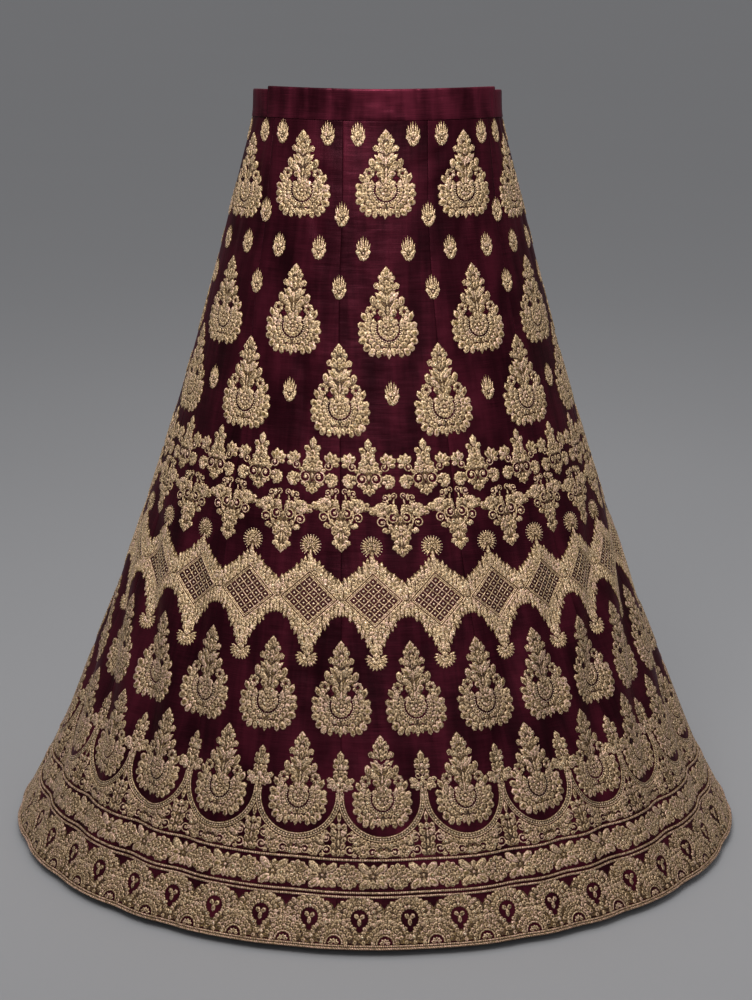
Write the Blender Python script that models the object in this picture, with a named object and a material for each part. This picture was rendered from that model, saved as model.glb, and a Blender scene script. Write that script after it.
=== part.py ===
"""A floor-length flared wedding skirt, held open in its worn shape.

Twelve tapered silk panels hang from a two-piece waistband. A single couched
cord, a pair of couched cords and a piping run round the skirt near its hem.
The origin is the middle of the waist, level with the middle of the front
waistband. +Z is up, -Y is the front, and +X is the right as seen from the front.

A place on the skirt is a share of the way round, 0 to 1 from the middle of the
front panel towards +X, and a drop, in metres straight down from the seam under
the front of the waistband. Drops above that seam are negative.
"""

import math
from collections import namedtuple

import bmesh
import bpy
from mathutils import Vector

# Driving sizes, in metres.
SKIRT_DROP = 0.953
BAND_HEIGHT = 0.038
BACK_BAND_STEP = 0.004
SILK_WALL = 0.0016
BAND_WALL = 0.0026
BAND_PROUD = 0.0009
GAP = 0.0003

# The waist sits lower at the back, by this much, and the hem stays level.
BACK_DIP = 0.029
DIP_SHARPNESS = 1.6

PANELS = 12
PANEL_COLUMNS = 12
BAND_COLUMNS = 26
PANEL_DROPS = (0.0, 0.055, 0.120, 0.200, 0.300, 0.420, 0.540, 0.660, 0.765, 0.8555, 0.8935)
BAND_LEVELS = (0.0, 0.5, 1.0)

# The front piece of the waistband runs between these headings, in degrees.
BAND_FRONT_FROM = -60.0
BAND_FRONT_TO = 69.0

# How the cross-section changes down the skirt. The section is an ellipse of a
# half-width and a depth ratio. Turn, crowd and squeeze say how the panels share
# it: turn carries the front panel round, in degrees, crowd widens the front
# panels against the back ones, and squeeze narrows the side panels.
Section = namedtuple("Section", "drop half_width depth_ratio turn crowd squeeze")
SECTIONS = (
    Section(-0.038, 0.1560, 0.735, 3.8, 0.36, -0.04),
    Section(0.000, 0.1581, 0.740, 3.8, 0.36, -0.04),
    Section(0.050, 0.1708, 0.760, 3.6, 0.29, -0.05),
    Section(0.120, 0.1890, 0.785, 3.3, 0.19, -0.05),
    Section(0.200, 0.2097, 0.805, 3.3, 0.12, -0.03),
    Section(0.340, 0.2492, 0.835, 4.7, 0.00, 0.00),
    Section(0.520, 0.3073, 0.865, 6.3, -0.02, -0.02),
    Section(0.720, 0.3818, 0.890, 8.1, -0.11, 0.03),
    Section(0.860, 0.4400, 0.900, 8.8, -0.13, 0.05),
    Section(0.953, 0.4872, 0.900, 9.0, -0.13, 0.05),
)

# The soft folds. A fold falls almost plumb while the panels flare past it, so it
# comes in below a drop at one heading and reaches the hem at another, in degrees.
# Depth is its greatest depth, part way down, and breadth is the half-breadth of the
# trough. The stiff border opens the folds out again, to HEM_FOLD of their depth.
HEM_FOLD = 0.25
FOLD_PEAK = 0.8
Fold = namedtuple("Fold", "starts_at ends_at below depth breadth")
FOLDS = (
    Fold(-16, -12, 0.60, 0.004, 0.030),
    Fold(9, 8, 0.58, 0.004, 0.032),
    Fold(38, 22, 0.42, 0.009, 0.024),
    Fold(55, 31, 0.44, 0.009, 0.022),
    Fold(72, 40, 0.46, 0.011, 0.023),
    Fold(87, 55, 0.50, 0.011, 0.025),
    Fold(100, 72, 0.56, 0.012, 0.027),
    Fold(114, 91, 0.56, 0.010, 0.026),
    Fold(127, 108, 0.46, 0.012, 0.026),
    Fold(140, 124, 0.40, 0.011, 0.024),
    Fold(151, 140, 0.34, 0.012, 0.027),
    Fold(164, 157, 0.30, 0.010, 0.025),
    Fold(177, 173, 0.33, 0.012, 0.027),
    Fold(190, 190, 0.30, 0.010, 0.024),
    Fold(203, 207, 0.36, 0.012, 0.027),
    Fold(214, 223, 0.42, 0.010, 0.024),
    Fold(227, 239, 0.47, 0.012, 0.026),
    Fold(240, 255, 0.52, 0.010, 0.025),
    Fold(250, 271, 0.56, 0.011, 0.027),
    Fold(260, 288, 0.55, 0.011, 0.026),
    Fold(270, 303, 0.50, 0.010, 0.024),
    Fold(284, 318, 0.46, 0.012, 0.024),
    Fold(306, 328, 0.44, 0.009, 0.022),
)

# Trims that are sewn on the outside, each at the drop of its middle.
Trim = namedtuple("Trim", "name drop width height")
TRIMS = (
    Trim("border_cord", 0.8555, 0.0036, 0.0020),
    Trim("twin_cord_upper", 0.8912, 0.0034, 0.0020),
    Trim("twin_cord_lower", 0.8958, 0.0034, 0.0020),
    Trim("hem_piping", 0.9494, 0.0062, 0.0026),
)

Finish = namedtuple("Finish", "name color roughness metallic")
SILK = Finish("maroon silk taffeta", (0.085, 0.012, 0.026, 1.0), 0.42, 0.0)
BAND_SILK = Finish("maroon band silk", (0.095, 0.013, 0.030, 1.0), 0.38, 0.0)
GOLD_CORD = Finish("pale gold cord", (0.56, 0.42, 0.27, 1.0), 0.38, 0.6)


def clear_scene():
    """Remove whatever the scene holds at the start."""
    for thing in list(bpy.data.objects):
        bpy.data.objects.remove(thing, do_unlink=True)


def make_material(finish):
    """One Principled material from a finish."""
    material = bpy.data.materials.new(finish.name)
    material.use_nodes = True
    material.diffuse_color = finish.color
    shader = material.node_tree.nodes["Principled BSDF"]
    shader.inputs["Base Color"].default_value = finish.color
    shader.inputs["Roughness"].default_value = finish.roughness
    shader.inputs["Metallic"].default_value = finish.metallic
    return material


def slope_at(index, column):
    """The slope of a column at a section, from the sections beside it."""
    before = SECTIONS[max(index - 1, 0)]
    after = SECTIONS[min(index + 1, len(SECTIONS) - 1)]
    return (getattr(after, column) - getattr(before, column)) / (after.drop - before.drop)


def section_value(column, drop):
    """A column of SECTIONS at any drop, on a smooth curve through the rows."""
    drop = min(max(drop, SECTIONS[0].drop), SECTIONS[-1].drop)
    index = 0
    while index < len(SECTIONS) - 2 and drop > SECTIONS[index + 1].drop:
        index += 1
    upper, lower = SECTIONS[index], SECTIONS[index + 1]
    span = lower.drop - upper.drop
    at = (drop - upper.drop) / span
    start, end = getattr(upper, column), getattr(lower, column)
    rise, fall = slope_at(index, column) * span, slope_at(index + 1, column) * span
    return (
        start * (2 * at**3 - 3 * at**2 + 1)
        + rise * (at**3 - 2 * at**2 + at)
        + end * (3 * at**2 - 2 * at**3)
        + fall * (at**3 - at**2)
    )


def heading_of(share, drop):
    """The direction, in radians from the front towards +X, of a share of the way round."""
    round_angle = 2 * math.pi * share
    turn = math.radians(section_value("turn", drop)) * (1 + math.cos(round_angle)) / 2
    crowd = section_value("crowd", drop) * math.sin(round_angle)
    squeeze = section_value("squeeze", drop) * math.sin(2 * round_angle)
    return round_angle + turn + crowd + squeeze


def fold_trough(heading, drop, radius):
    """How far the folds push the cloth in, at a heading and a drop."""
    depth = 0.0
    for fold in FOLDS:
        if drop <= fold.below:
            continue
        grown = (drop - fold.below) / (SKIRT_DROP - fold.below)
        settled = grown * (2 - grown)
        lies_at = math.radians(fold.starts_at + (fold.ends_at - fold.starts_at) * settled)
        away = math.remainder(heading - lies_at, 2 * math.pi) * radius
        size = (1 - HEM_FOLD) * math.sin(math.pi * grown**FOLD_PEAK) + HEM_FOLD * grown
        depth += fold.depth * size * math.exp(-((away / fold.breadth) ** 2))
    return depth


def point_at_heading(heading, drop, dip_more=0.0):
    """The outer surface of the skirt at a heading and a drop."""
    half_width = section_value("half_width", drop)
    half_depth = half_width * section_value("depth_ratio", drop)
    outward = Vector((math.sin(heading) / half_width, -math.cos(heading) / half_depth, 0)).normalized()
    place = Vector((half_width * math.sin(heading), -half_depth * math.cos(heading), 0))
    place -= outward * fold_trough(heading, drop, (half_width + half_depth) / 2)
    dip = BACK_DIP * ((1 - math.cos(heading)) / 2) ** DIP_SHARPNESS
    place.z = -BAND_HEIGHT / 2 - drop - dip * (1 - max(drop, 0) / SKIRT_DROP) - dip_more
    return place


def normal_at_heading(heading, drop):
    """The outward normal of the skirt at a heading and a drop."""
    step = 0.002
    round_way = point_at_heading(heading + step, drop) - point_at_heading(heading - step, drop)
    down = min(drop, SKIRT_DROP - step)
    down_way = point_at_heading(heading, down + step) - point_at_heading(heading, down - step)
    return down_way.cross(round_way).normalized()


def skirt_point(share, drop, lift=0.0):
    """A point of the skirt, moved out from its outer surface by a lift."""
    heading = heading_of(share, drop)
    return point_at_heading(heading, drop) + normal_at_heading(heading, drop) * lift


def share_beside_seam(share, drop, side):
    """A seam's share, moved to one side by half of the gap between two panels."""
    step = 0.001
    run = (skirt_point(share + step, drop) - skirt_point(share - step, drop)).length / (2 * step)
    return share + side * GAP / 2 / run


def solid_from_points(name, points, faces, finish, materials):
    """One closed object from its points and faces, with its faces turned out."""
    mesh = bpy.data.meshes.new(name)
    work = bmesh.new()
    corners = [work.verts.new(point) for point in points]
    for face in faces:
        work.faces.new([corners[index] for index in face])
    bmesh.ops.triangulate(work, faces=work.faces[:])
    bmesh.ops.recalc_face_normals(work, faces=work.faces[:])
    work.to_mesh(mesh)
    work.free()
    mesh.shade_smooth()
    mesh.set_sharp_from_angle(angle=math.radians(40))
    mesh.materials.append(materials[finish])
    thing = bpy.data.objects.new(name, mesh)
    bpy.context.scene.collection.objects.link(thing)
    return thing


def wall_solid(name, outer, inner, finish, materials):
    """A closed cloth wall between two grids of points, both [row][column]."""
    rows, columns = len(outer), len(outer[0])
    points = [point for row in outer + inner for point in row]

    def outside(row, column):
        return row * columns + column

    def inside(row, column):
        return rows * columns + row * columns + column

    faces = []
    for row in range(rows - 1):
        for column in range(columns - 1):
            for side in (outside, inside):
                faces.append(
                    (side(row, column), side(row + 1, column), side(row + 1, column + 1), side(row, column + 1))
                )
        for column in (0, columns - 1):
            faces.append(
                (outside(row, column), outside(row + 1, column), inside(row + 1, column), inside(row, column))
            )
    for column in range(columns - 1):
        for row in (0, rows - 1):
            faces.append(
                (outside(row, column), outside(row, column + 1), inside(row, column + 1), inside(row, column))
            )
    return solid_from_points(name, points, faces, finish, materials)


def ring_solid(name, rings, finish, materials):
    """A closed ring from the loops of points that run along its corners, in order."""
    count = len(rings[0])
    points = [point for ring in rings for point in ring]
    faces = []
    for corner in range(len(rings)):
        other = (corner + 1) % len(rings)
        for step in range(count):
            after = (step + 1) % count
            faces.append(
                (corner * count + step, corner * count + after, other * count + after, other * count + step)
            )
    return solid_from_points(name, points, faces, finish, materials)


def make_panel(number, materials):
    """One tapered panel, between two seams and from the waistband to the hem."""
    outer, inner = [], []
    for drop in PANEL_DROPS + (SKIRT_DROP,):
        level = drop + GAP if drop == 0 else drop
        start = share_beside_seam((number - 0.5) / PANELS, level, 1)
        end = share_beside_seam((number + 0.5) / PANELS, level, -1)
        shares = [start + (end - start) * column / PANEL_COLUMNS for column in range(PANEL_COLUMNS + 1)]
        outer.append([skirt_point(share, level) for share in shares])
        inner.append([skirt_point(share, level, -SILK_WALL) for share in shares])
    return wall_solid(f"kali_{number + 1:02d}", outer, inner, SILK, materials)


def make_waistband(name, start, end, columns, dip_more, materials):
    """One piece of the waistband, between two headings in radians."""
    outer, inner = [], []
    half_gap = GAP / 2 / section_value("half_width", 0)
    for level in BAND_LEVELS:
        drop = -BAND_HEIGHT * (1 - level)
        lower = dip_more * (1 - level)
        outer_row, inner_row = [], []
        for column in range(columns + 1):
            heading = start + half_gap + (end - start - 2 * half_gap) * column / columns
            normal = normal_at_heading(heading, drop)
            place = point_at_heading(heading, drop, lower)
            outer_row.append(place + normal * BAND_PROUD)
            inner_row.append(place + normal * (BAND_PROUD - BAND_WALL))
        outer.append(outer_row)
        inner.append(inner_row)
    return wall_solid(name, outer, inner, BAND_SILK, materials)


def make_trim(trim, materials):
    """A cord or piping round the skirt: flat against the cloth and narrower on top."""
    top = trim.width * 0.55
    corners = (
        (-trim.width / 2, GAP),
        (-top / 2, GAP + trim.height),
        (top / 2, GAP + trim.height),
        (trim.width / 2, GAP),
    )
    count = PANELS * PANEL_COLUMNS
    start = -0.5 / PANELS
    rings = []
    for along, lift in corners:
        rings.append(
            [skirt_point(start + step / count, trim.drop + along, lift) for step in range(count)]
        )
    return ring_solid(trim.name, rings, GOLD_CORD, materials)


def main():
    clear_scene()
    materials = {finish: make_material(finish) for finish in (SILK, BAND_SILK, GOLD_CORD)}
    for number in range(PANELS):
        make_panel(number, materials)
    front_from, front_to = math.radians(BAND_FRONT_FROM), math.radians(BAND_FRONT_TO)
    front_columns = round(BAND_COLUMNS * 0.4)
    make_waistband("waistband_front", front_from, front_to, front_columns, 0.0, materials)
    make_waistband(
        "waistband_back",
        front_to,
        front_from + 2 * math.pi,
        BAND_COLUMNS - front_columns,
        BACK_BAND_STEP,
        materials,
    )
    for trim in TRIMS:
        make_trim(trim, materials)


main()
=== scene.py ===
"""Dresses the bare solids of a flared wedding skirt in maroon silk and raised gold work.

A place on the skirt is a share of the way round, 0 to 1 from the middle of the
front panel towards +X, and a drop, in metres straight down from the seam under
the front of the waistband. The gold work is drawn flat, in millimetres, with x to
the right, y up and z off the cloth, and is then laid on the skirt at such places.
"""

import math
from collections import namedtuple
from functools import partial

import bpy
import numpy as np
from mathutils import Matrix, Vector


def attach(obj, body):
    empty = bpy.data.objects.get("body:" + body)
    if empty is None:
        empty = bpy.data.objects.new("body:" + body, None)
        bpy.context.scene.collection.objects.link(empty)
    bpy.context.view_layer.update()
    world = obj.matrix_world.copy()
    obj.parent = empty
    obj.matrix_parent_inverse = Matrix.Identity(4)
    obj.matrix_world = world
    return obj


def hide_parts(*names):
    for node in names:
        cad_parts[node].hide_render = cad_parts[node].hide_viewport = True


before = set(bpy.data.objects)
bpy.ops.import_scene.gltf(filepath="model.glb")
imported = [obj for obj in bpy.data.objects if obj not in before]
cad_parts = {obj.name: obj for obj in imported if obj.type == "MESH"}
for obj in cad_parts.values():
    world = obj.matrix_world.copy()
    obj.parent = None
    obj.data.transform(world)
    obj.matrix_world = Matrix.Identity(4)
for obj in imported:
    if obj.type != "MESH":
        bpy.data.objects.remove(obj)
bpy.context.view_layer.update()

bl_info = {
    "name": "Embroidered flared skirt",
    "version": (1, 0, 0),
    "blender": (4, 5, 0),
    "location": "3D View > Sidebar > Skirt",
    "description": "Dresses the solids of a flared skirt in silk, cords and raised gold work",
    "category": "Object",
}

TAU = 2 * math.pi
MM = 0.001

# ---------------------------------------------------------------- the form

# These sizes, in metres, and the two tables are those of the solids.
SKIRT_DROP = 0.953
BAND_HEIGHT = 0.038
BACK_BAND_STEP = 0.004
BAND_PROUD = 0.0009
BAND_WALL = 0.0026
BACK_DIP = 0.029
DIP_SHARPNESS = 1.6
PANELS = 12
BAND_FRONT_FROM = -60.0
BAND_FRONT_TO = 69.0

Section = namedtuple("Section", "drop half_width depth_ratio turn crowd squeeze")
SECTIONS = (
    Section(-0.038, 0.1560, 0.735, 3.8, 0.36, -0.04),
    Section(0.000, 0.1581, 0.740, 3.8, 0.36, -0.04),
    Section(0.050, 0.1708, 0.760, 3.6, 0.29, -0.05),
    Section(0.120, 0.1890, 0.785, 3.3, 0.19, -0.05),
    Section(0.200, 0.2097, 0.805, 3.3, 0.12, -0.03),
    Section(0.340, 0.2492, 0.835, 4.7, 0.00, 0.00),
    Section(0.520, 0.3073, 0.865, 6.3, -0.02, -0.02),
    Section(0.720, 0.3818, 0.890, 8.1, -0.11, 0.03),
    Section(0.860, 0.4400, 0.900, 8.8, -0.13, 0.05),
    Section(0.953, 0.4872, 0.900, 9.0, -0.13, 0.05),
)

# Folds, by heading in degrees where they start and where they reach the hem.
HEM_FOLD = 0.25
FOLD_PEAK = 0.8
Fold = namedtuple("Fold", "starts_at ends_at below depth breadth")
FOLDS = (
    Fold(-16, -12, 0.60, 0.004, 0.030),
    Fold(9, 8, 0.58, 0.004, 0.032),
    Fold(38, 22, 0.42, 0.009, 0.024),
    Fold(55, 31, 0.44, 0.009, 0.022),
    Fold(72, 40, 0.46, 0.011, 0.023),
    Fold(87, 55, 0.50, 0.011, 0.025),
    Fold(100, 72, 0.56, 0.012, 0.027),
    Fold(114, 91, 0.56, 0.010, 0.026),
    Fold(127, 108, 0.46, 0.012, 0.026),
    Fold(140, 124, 0.40, 0.011, 0.024),
    Fold(151, 140, 0.34, 0.012, 0.027),
    Fold(164, 157, 0.30, 0.010, 0.025),
    Fold(177, 173, 0.33, 0.012, 0.027),
    Fold(190, 190, 0.30, 0.010, 0.024),
    Fold(203, 207, 0.36, 0.012, 0.027),
    Fold(214, 223, 0.42, 0.010, 0.024),
    Fold(227, 239, 0.47, 0.012, 0.026),
    Fold(240, 255, 0.52, 0.010, 0.025),
    Fold(250, 271, 0.56, 0.011, 0.027),
    Fold(260, 288, 0.55, 0.011, 0.026),
    Fold(270, 303, 0.50, 0.010, 0.024),
    Fold(284, 318, 0.46, 0.012, 0.024),
    Fold(306, 328, 0.44, 0.009, 0.022),
)

# Small creases: where each is centred, how far it leans off plumb
# towards +X, in degrees, and its own length, half-breadth and depth in metres.
Crease = namedtuple("Crease", "heading drop lean length breadth depth")
CREASES = (
    Crease(-31, 0.052, 58, 0.070, 0.0050, 0.0019),
    Crease(-26, 0.076, 52, 0.060, 0.0045, 0.0015),
    Crease(-24, 0.118, 20, 0.090, 0.0060, 0.0017),
    Crease(22, 0.048, -62, 0.070, 0.0050, 0.0017),
    Crease(27, 0.074, -56, 0.064, 0.0046, 0.0019),
    Crease(33, 0.130, -24, 0.100, 0.0065, 0.0017),
    Crease(-58, 0.060, 8, 0.150, 0.0060, 0.0016),
    Crease(-66, 0.090, 4, 0.190, 0.0070, 0.0018),
    Crease(69, 0.070, -6, 0.170, 0.0065, 0.0018),
    Crease(77, 0.100, -3, 0.200, 0.0075, 0.0017),
    Crease(-4, 0.232, 6, 0.150, 0.0110, 0.0017),
    Crease(13, 0.262, -9, 0.120, 0.0100, 0.0017),
    Crease(-22, 0.300, 10, 0.160, 0.0120, 0.0020),
    Crease(26, 0.345, -12, 0.150, 0.0120, 0.0020),
    Crease(-14, 0.640, 28, 0.120, 0.0080, 0.0022),
    Crease(-3, 0.655, -20, 0.100, 0.0070, 0.0020),
    Crease(16, 0.645, 24, 0.110, 0.0080, 0.0022),
    Crease(31, 0.630, -30, 0.120, 0.0080, 0.0022),
    Crease(-30, 0.652, -26, 0.080, 0.0085, 0.0016),
    Crease(4, 0.755, 70, 0.120, 0.0065, 0.0020),
    Crease(-9, 0.478, 12, 0.090, 0.0070, 0.0016),
    Crease(19, 0.492, -14, 0.090, 0.0070, 0.0016),
    Crease(-90, 0.130, 3, 0.240, 0.0090, 0.0018),
    Crease(-108, 0.110, 6, 0.200, 0.0080, 0.0018),
    Crease(-127, 0.120, 3, 0.220, 0.0085, 0.0019),
    Crease(-146, 0.100, 5, 0.190, 0.0080, 0.0018),
    Crease(-166, 0.130, 2, 0.230, 0.0090, 0.0019),
    Crease(176, 0.105, -2, 0.200, 0.0080, 0.0018),
    Crease(158, 0.125, -5, 0.220, 0.0085, 0.0019),
    Crease(139, 0.100, -3, 0.190, 0.0080, 0.0017),
    Crease(121, 0.130, -6, 0.230, 0.0090, 0.0019),
    Crease(102, 0.110, -4, 0.200, 0.0080, 0.0018),
)

# The waist seam gathers the side and back panels in, in waves that drift a little:
# how often round each drift comes, and how far it goes.
GATHER_DEPTH = 0.0013
GATHER_REACH = 0.075
GATHERS_ROUND = 58
GATHER_DRIFTS = ((3, 2.1), (7, 1.4))

SECTION_DROPS = np.array([section.drop for section in SECTIONS])
NORMAL_STEP = 0.002
SLANT_STEP = 0.01
SLANT_SHARE = 0.97


def smooth_between(start, start_slope, end, end_slope, at):
    """A cubic from start to end with these slopes, at a share of the way."""
    return (
        start * (2 * at**3 - 3 * at**2 + 1)
        + start_slope * (at**3 - 2 * at**2 + at)
        + end * (3 * at**2 - 2 * at**3)
        + end_slope * (at**3 - at**2)
    )


def section_value(column, drop):
    """A column of SECTIONS at any drops, on a smooth curve through the rows."""
    values = np.array([getattr(section, column) for section in SECTIONS])
    last = len(SECTIONS) - 1
    before = np.maximum(np.arange(last + 1) - 1, 0)
    after = np.minimum(np.arange(last + 1) + 1, last)
    slopes = (values[after] - values[before]) / (SECTION_DROPS[after] - SECTION_DROPS[before])
    drop = np.clip(drop, SECTION_DROPS[0], SECTION_DROPS[-1])
    upper = np.clip(np.searchsorted(SECTION_DROPS, drop) - 1, 0, last - 1)
    span = SECTION_DROPS[upper + 1] - SECTION_DROPS[upper]
    at = (drop - SECTION_DROPS[upper]) / span
    start_slope, end_slope = slopes[upper] * span, slopes[upper + 1] * span
    return smooth_between(values[upper], start_slope, values[upper + 1], end_slope, at)


def half_sizes(drop):
    """Half the width and half the depth of the skirt at drops, folds left out."""
    half_width = section_value("half_width", drop)
    return half_width, half_width * section_value("depth_ratio", drop)


def heading_of(share, drop):
    """The direction, in radians from the front towards +X, of a share of the way round."""
    round_angle = TAU * share
    turn = np.radians(section_value("turn", drop)) * (1 + np.cos(round_angle)) / 2
    crowd = section_value("crowd", drop) * np.sin(round_angle)
    squeeze = section_value("squeeze", drop) * np.sin(2 * round_angle)
    return round_angle + turn + crowd + squeeze


def turned_away(heading, degrees):
    """How far a heading is from one in degrees, in radians, the short way round."""
    return np.remainder(heading - np.radians(degrees) + math.pi, TAU) - math.pi


def dent(mark, across, down):
    """How far a crease or pinch pushes the cloth in, across and down from its middle."""
    lean = math.radians(mark.lean)
    along = down * math.cos(lean) + across * math.sin(lean)
    away = across * math.cos(lean) - down * math.sin(lean)
    return mark.depth * np.exp(-((away / mark.breadth) ** 2) - (2 * along / mark.length) ** 2)


def pressed_in(heading, drop, radius):
    """How far folds, creases and gathers push the cloth in."""
    depth = np.zeros(np.broadcast(heading, drop).shape)
    for fold in FOLDS:
        grown = np.clip((drop - fold.below) / (SKIRT_DROP - fold.below), 0, 1)
        lies_at = fold.starts_at + (fold.ends_at - fold.starts_at) * grown * (2 - grown)
        away = turned_away(heading, lies_at) * radius
        size = (1 - HEM_FOLD) * np.sin(math.pi * grown**FOLD_PEAK) + HEM_FOLD * grown
        depth += fold.depth * size * np.exp(-((away / fold.breadth) ** 2))
    for crease in CREASES:
        depth += dent(crease, turned_away(heading, crease.heading) * radius, drop - crease.drop)
    phase = GATHERS_ROUND * heading
    for times, reach in GATHER_DRIFTS:
        phase = phase + reach * np.sin(times * heading)
    waves = 0.5 + 0.5 * np.sin(phase)
    backward = (1 - np.cos(heading)) / 2
    return depth + GATHER_DEPTH * waves * backward * np.exp(-((drop / GATHER_REACH) ** 2))


def cloth_place(heading, drop):
    """The outer face of the cloth at headings and drops."""
    half_width, half_depth = half_sizes(drop)
    sine, cosine = np.sin(heading), np.cos(heading)
    out_x, out_y = sine / half_width, -cosine / half_depth
    inward = pressed_in(heading, drop, (half_width + half_depth) / 2) / np.hypot(out_x, out_y)
    dip = BACK_DIP * ((1 - cosine) / 2) ** DIP_SHARPNESS
    return np.stack(
        [
            half_width * sine - out_x * inward,
            -half_depth * cosine - out_y * inward,
            -BAND_HEIGHT / 2 - drop - dip * (1 - np.maximum(drop, 0) / SKIRT_DROP),
        ],
        axis=-1,
    )


def cloth_normal(heading, drop):
    """The outward normals of the cloth."""
    round_way = cloth_place(heading + NORMAL_STEP, drop) - cloth_place(heading - NORMAL_STEP, drop)
    middle = np.minimum(drop, SKIRT_DROP - NORMAL_STEP)
    down_way = cloth_place(heading, middle + NORMAL_STEP) - cloth_place(heading, middle - NORMAL_STEP)
    normal = np.cross(down_way, round_way)
    return normal / np.linalg.norm(normal, axis=-1, keepdims=True)


def on_cloth(share, drop, lift):
    """Points off the cloth by a lift, at shares and drops."""
    heading = heading_of(share, drop)
    return cloth_place(heading, drop) + cloth_normal(heading, drop) * np.asarray(lift)[..., None]


def run_of(share, drop):
    """Metres of cloth to one whole share, at a place, folds left out."""
    round_angle = TAU * share
    spread = section_value("crowd", drop) * np.cos(round_angle)
    spread = spread + 2 * section_value("squeeze", drop) * np.cos(2 * round_angle)
    spread = spread - np.radians(section_value("turn", drop)) * np.sin(round_angle) / 2
    heading = heading_of(share, drop)
    half_width, half_depth = half_sizes(drop)
    return TAU * (1 + spread) * np.hypot(half_width * np.cos(heading), half_depth * np.sin(heading))


def slant_of(drop):
    """Metres of cloth to one metre of drop."""
    above = section_value("half_width", drop - SLANT_STEP)
    grown = section_value("half_width", drop + SLANT_STEP) - above
    return np.hypot(1, SLANT_SHARE * grown / (2 * SLANT_STEP))


def spots(*offsets):
    """Shares at these offsets, in panels, from the middle of each panel."""
    return [(panel + offset) / PANELS for panel in range(PANELS) for offset in offsets]


# ---------------------------------------------------------------- meshes


def link_piece(name, points, faces, material, values=None, replaces=()):
    """One shown object that rides with the skirt, with named values at its points."""
    mesh = bpy.data.meshes.new(name)
    mesh.from_pydata(points, [], faces)
    for label, value in (values or {}).items():
        value = np.asarray(value, dtype=np.float32)
        kind, field = ("FLOAT", "value") if value.ndim == 1 else ("FLOAT_VECTOR", "vector")
        mesh.attributes.new(label, kind, "POINT").data.foreach_set(field, value.ravel())
    mesh.shade_smooth()
    mesh.materials.append(material)
    piece = bpy.data.objects.new(name, mesh)
    bpy.context.scene.collection.objects.link(piece)
    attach(piece, "root")
    if replaces:
        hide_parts(*replaces)
    return piece


def grid_faces(rows, columns, start=0, turned=False):
    """Quads over a grid of points that are numbered row by row."""
    row, column = np.meshgrid(np.arange(rows - 1), np.arange(columns - 1), indexing="ij")
    corner = row * columns + column
    below = corner + columns
    faces = np.stack([corner, below, below + 1, corner + 1], axis=-1).reshape(-1, 4) + start
    return faces[:, ::-1] if turned else faces


def wall_mesh(outer, inner):
    """Points and faces of a closed cloth wall between two grids of points."""
    rows, columns = outer.shape[:2]
    count = rows * columns
    points = np.concatenate([outer.reshape(-1, 3), inner.reshape(-1, 3)])
    faces = [grid_faces(rows, columns), grid_faces(rows, columns, count, True)]
    index = np.arange(count).reshape(rows, columns)
    rim = [index[0, ::-1], index[:, 0], index[-1], index[::-1, -1]]
    for edge in rim:
        faces.append(np.stack([edge[:-1], edge[:-1] + count, edge[1:] + count, edge[1:]], axis=-1))
    return points, np.concatenate(faces)


# ---------------------------------------------------------------- shaders


# The sockets of a Mix node that carry colours.
FIRST_COLOUR = 6
SECOND_COLOUR = 7
MIXED_COLOUR = 2

# Near black: it darkens seams and joins, and gives the waistband's fold painted shade.
SEAM_COLOUR = (0.004, 0.0006, 0.0012)
# SPARK_COLOUR is a painted glint on beads and sequins.
SPARK_COLOUR = (0.95, 0.86, 0.62)


def opaque(colour):
    """A colour with its alpha."""
    return (*colour, 1.0)


class Wire:
    """A shader value, a number, colour or vector, with Python's arithmetic."""

    def __init__(self, shader, socket):
        self.shader = shader
        self.socket = socket

    def math(self, operation, *others):
        return self.shader.node("ShaderNodeMath", {"operation": operation}, [self, *others])

    def __add__(self, other):
        return self.math("ADD", other)

    __radd__ = __add__

    def __mul__(self, other):
        return self.math("MULTIPLY", other)

    __rmul__ = __mul__

    def __sub__(self, other):
        return self.math("SUBTRACT", other)

    def __rsub__(self, other):
        return self.shader.node("ShaderNodeMath", {"operation": "SUBTRACT"}, [other, self])

    def between(self, low, high):
        """0 where this is low, 1 where it is high, eased."""
        settings = {"interpolation_type": "SMOOTHSTEP"}
        values = {"Value": self, "From Min": low, "From Max": high}
        return self.shader.node("ShaderNodeMapRange", settings, values)

    def mix(self, first, second):
        """The first colour where this is 0, the second where it is 1."""
        settings = {"data_type": "RGBA"}
        values = {"Factor": self, FIRST_COLOUR: first, SECOND_COLOUR: second}
        return self.shader.node("ShaderNodeMix", settings, values, MIXED_COLOUR)

    def dimmed(self, share):
        """This colour, times a number."""
        settings = {"data_type": "RGBA", "blend_type": "MULTIPLY"}
        values = {"Factor": 1.0, FIRST_COLOUR: self, SECOND_COLOUR: share}
        return self.shader.node("ShaderNodeMix", settings, values, MIXED_COLOUR)

    def stretched(self, scale):
        """This vector, times a vector."""
        return self.shader.node("ShaderNodeVectorMath", {"operation": "MULTIPLY"}, [self, scale])


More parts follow.
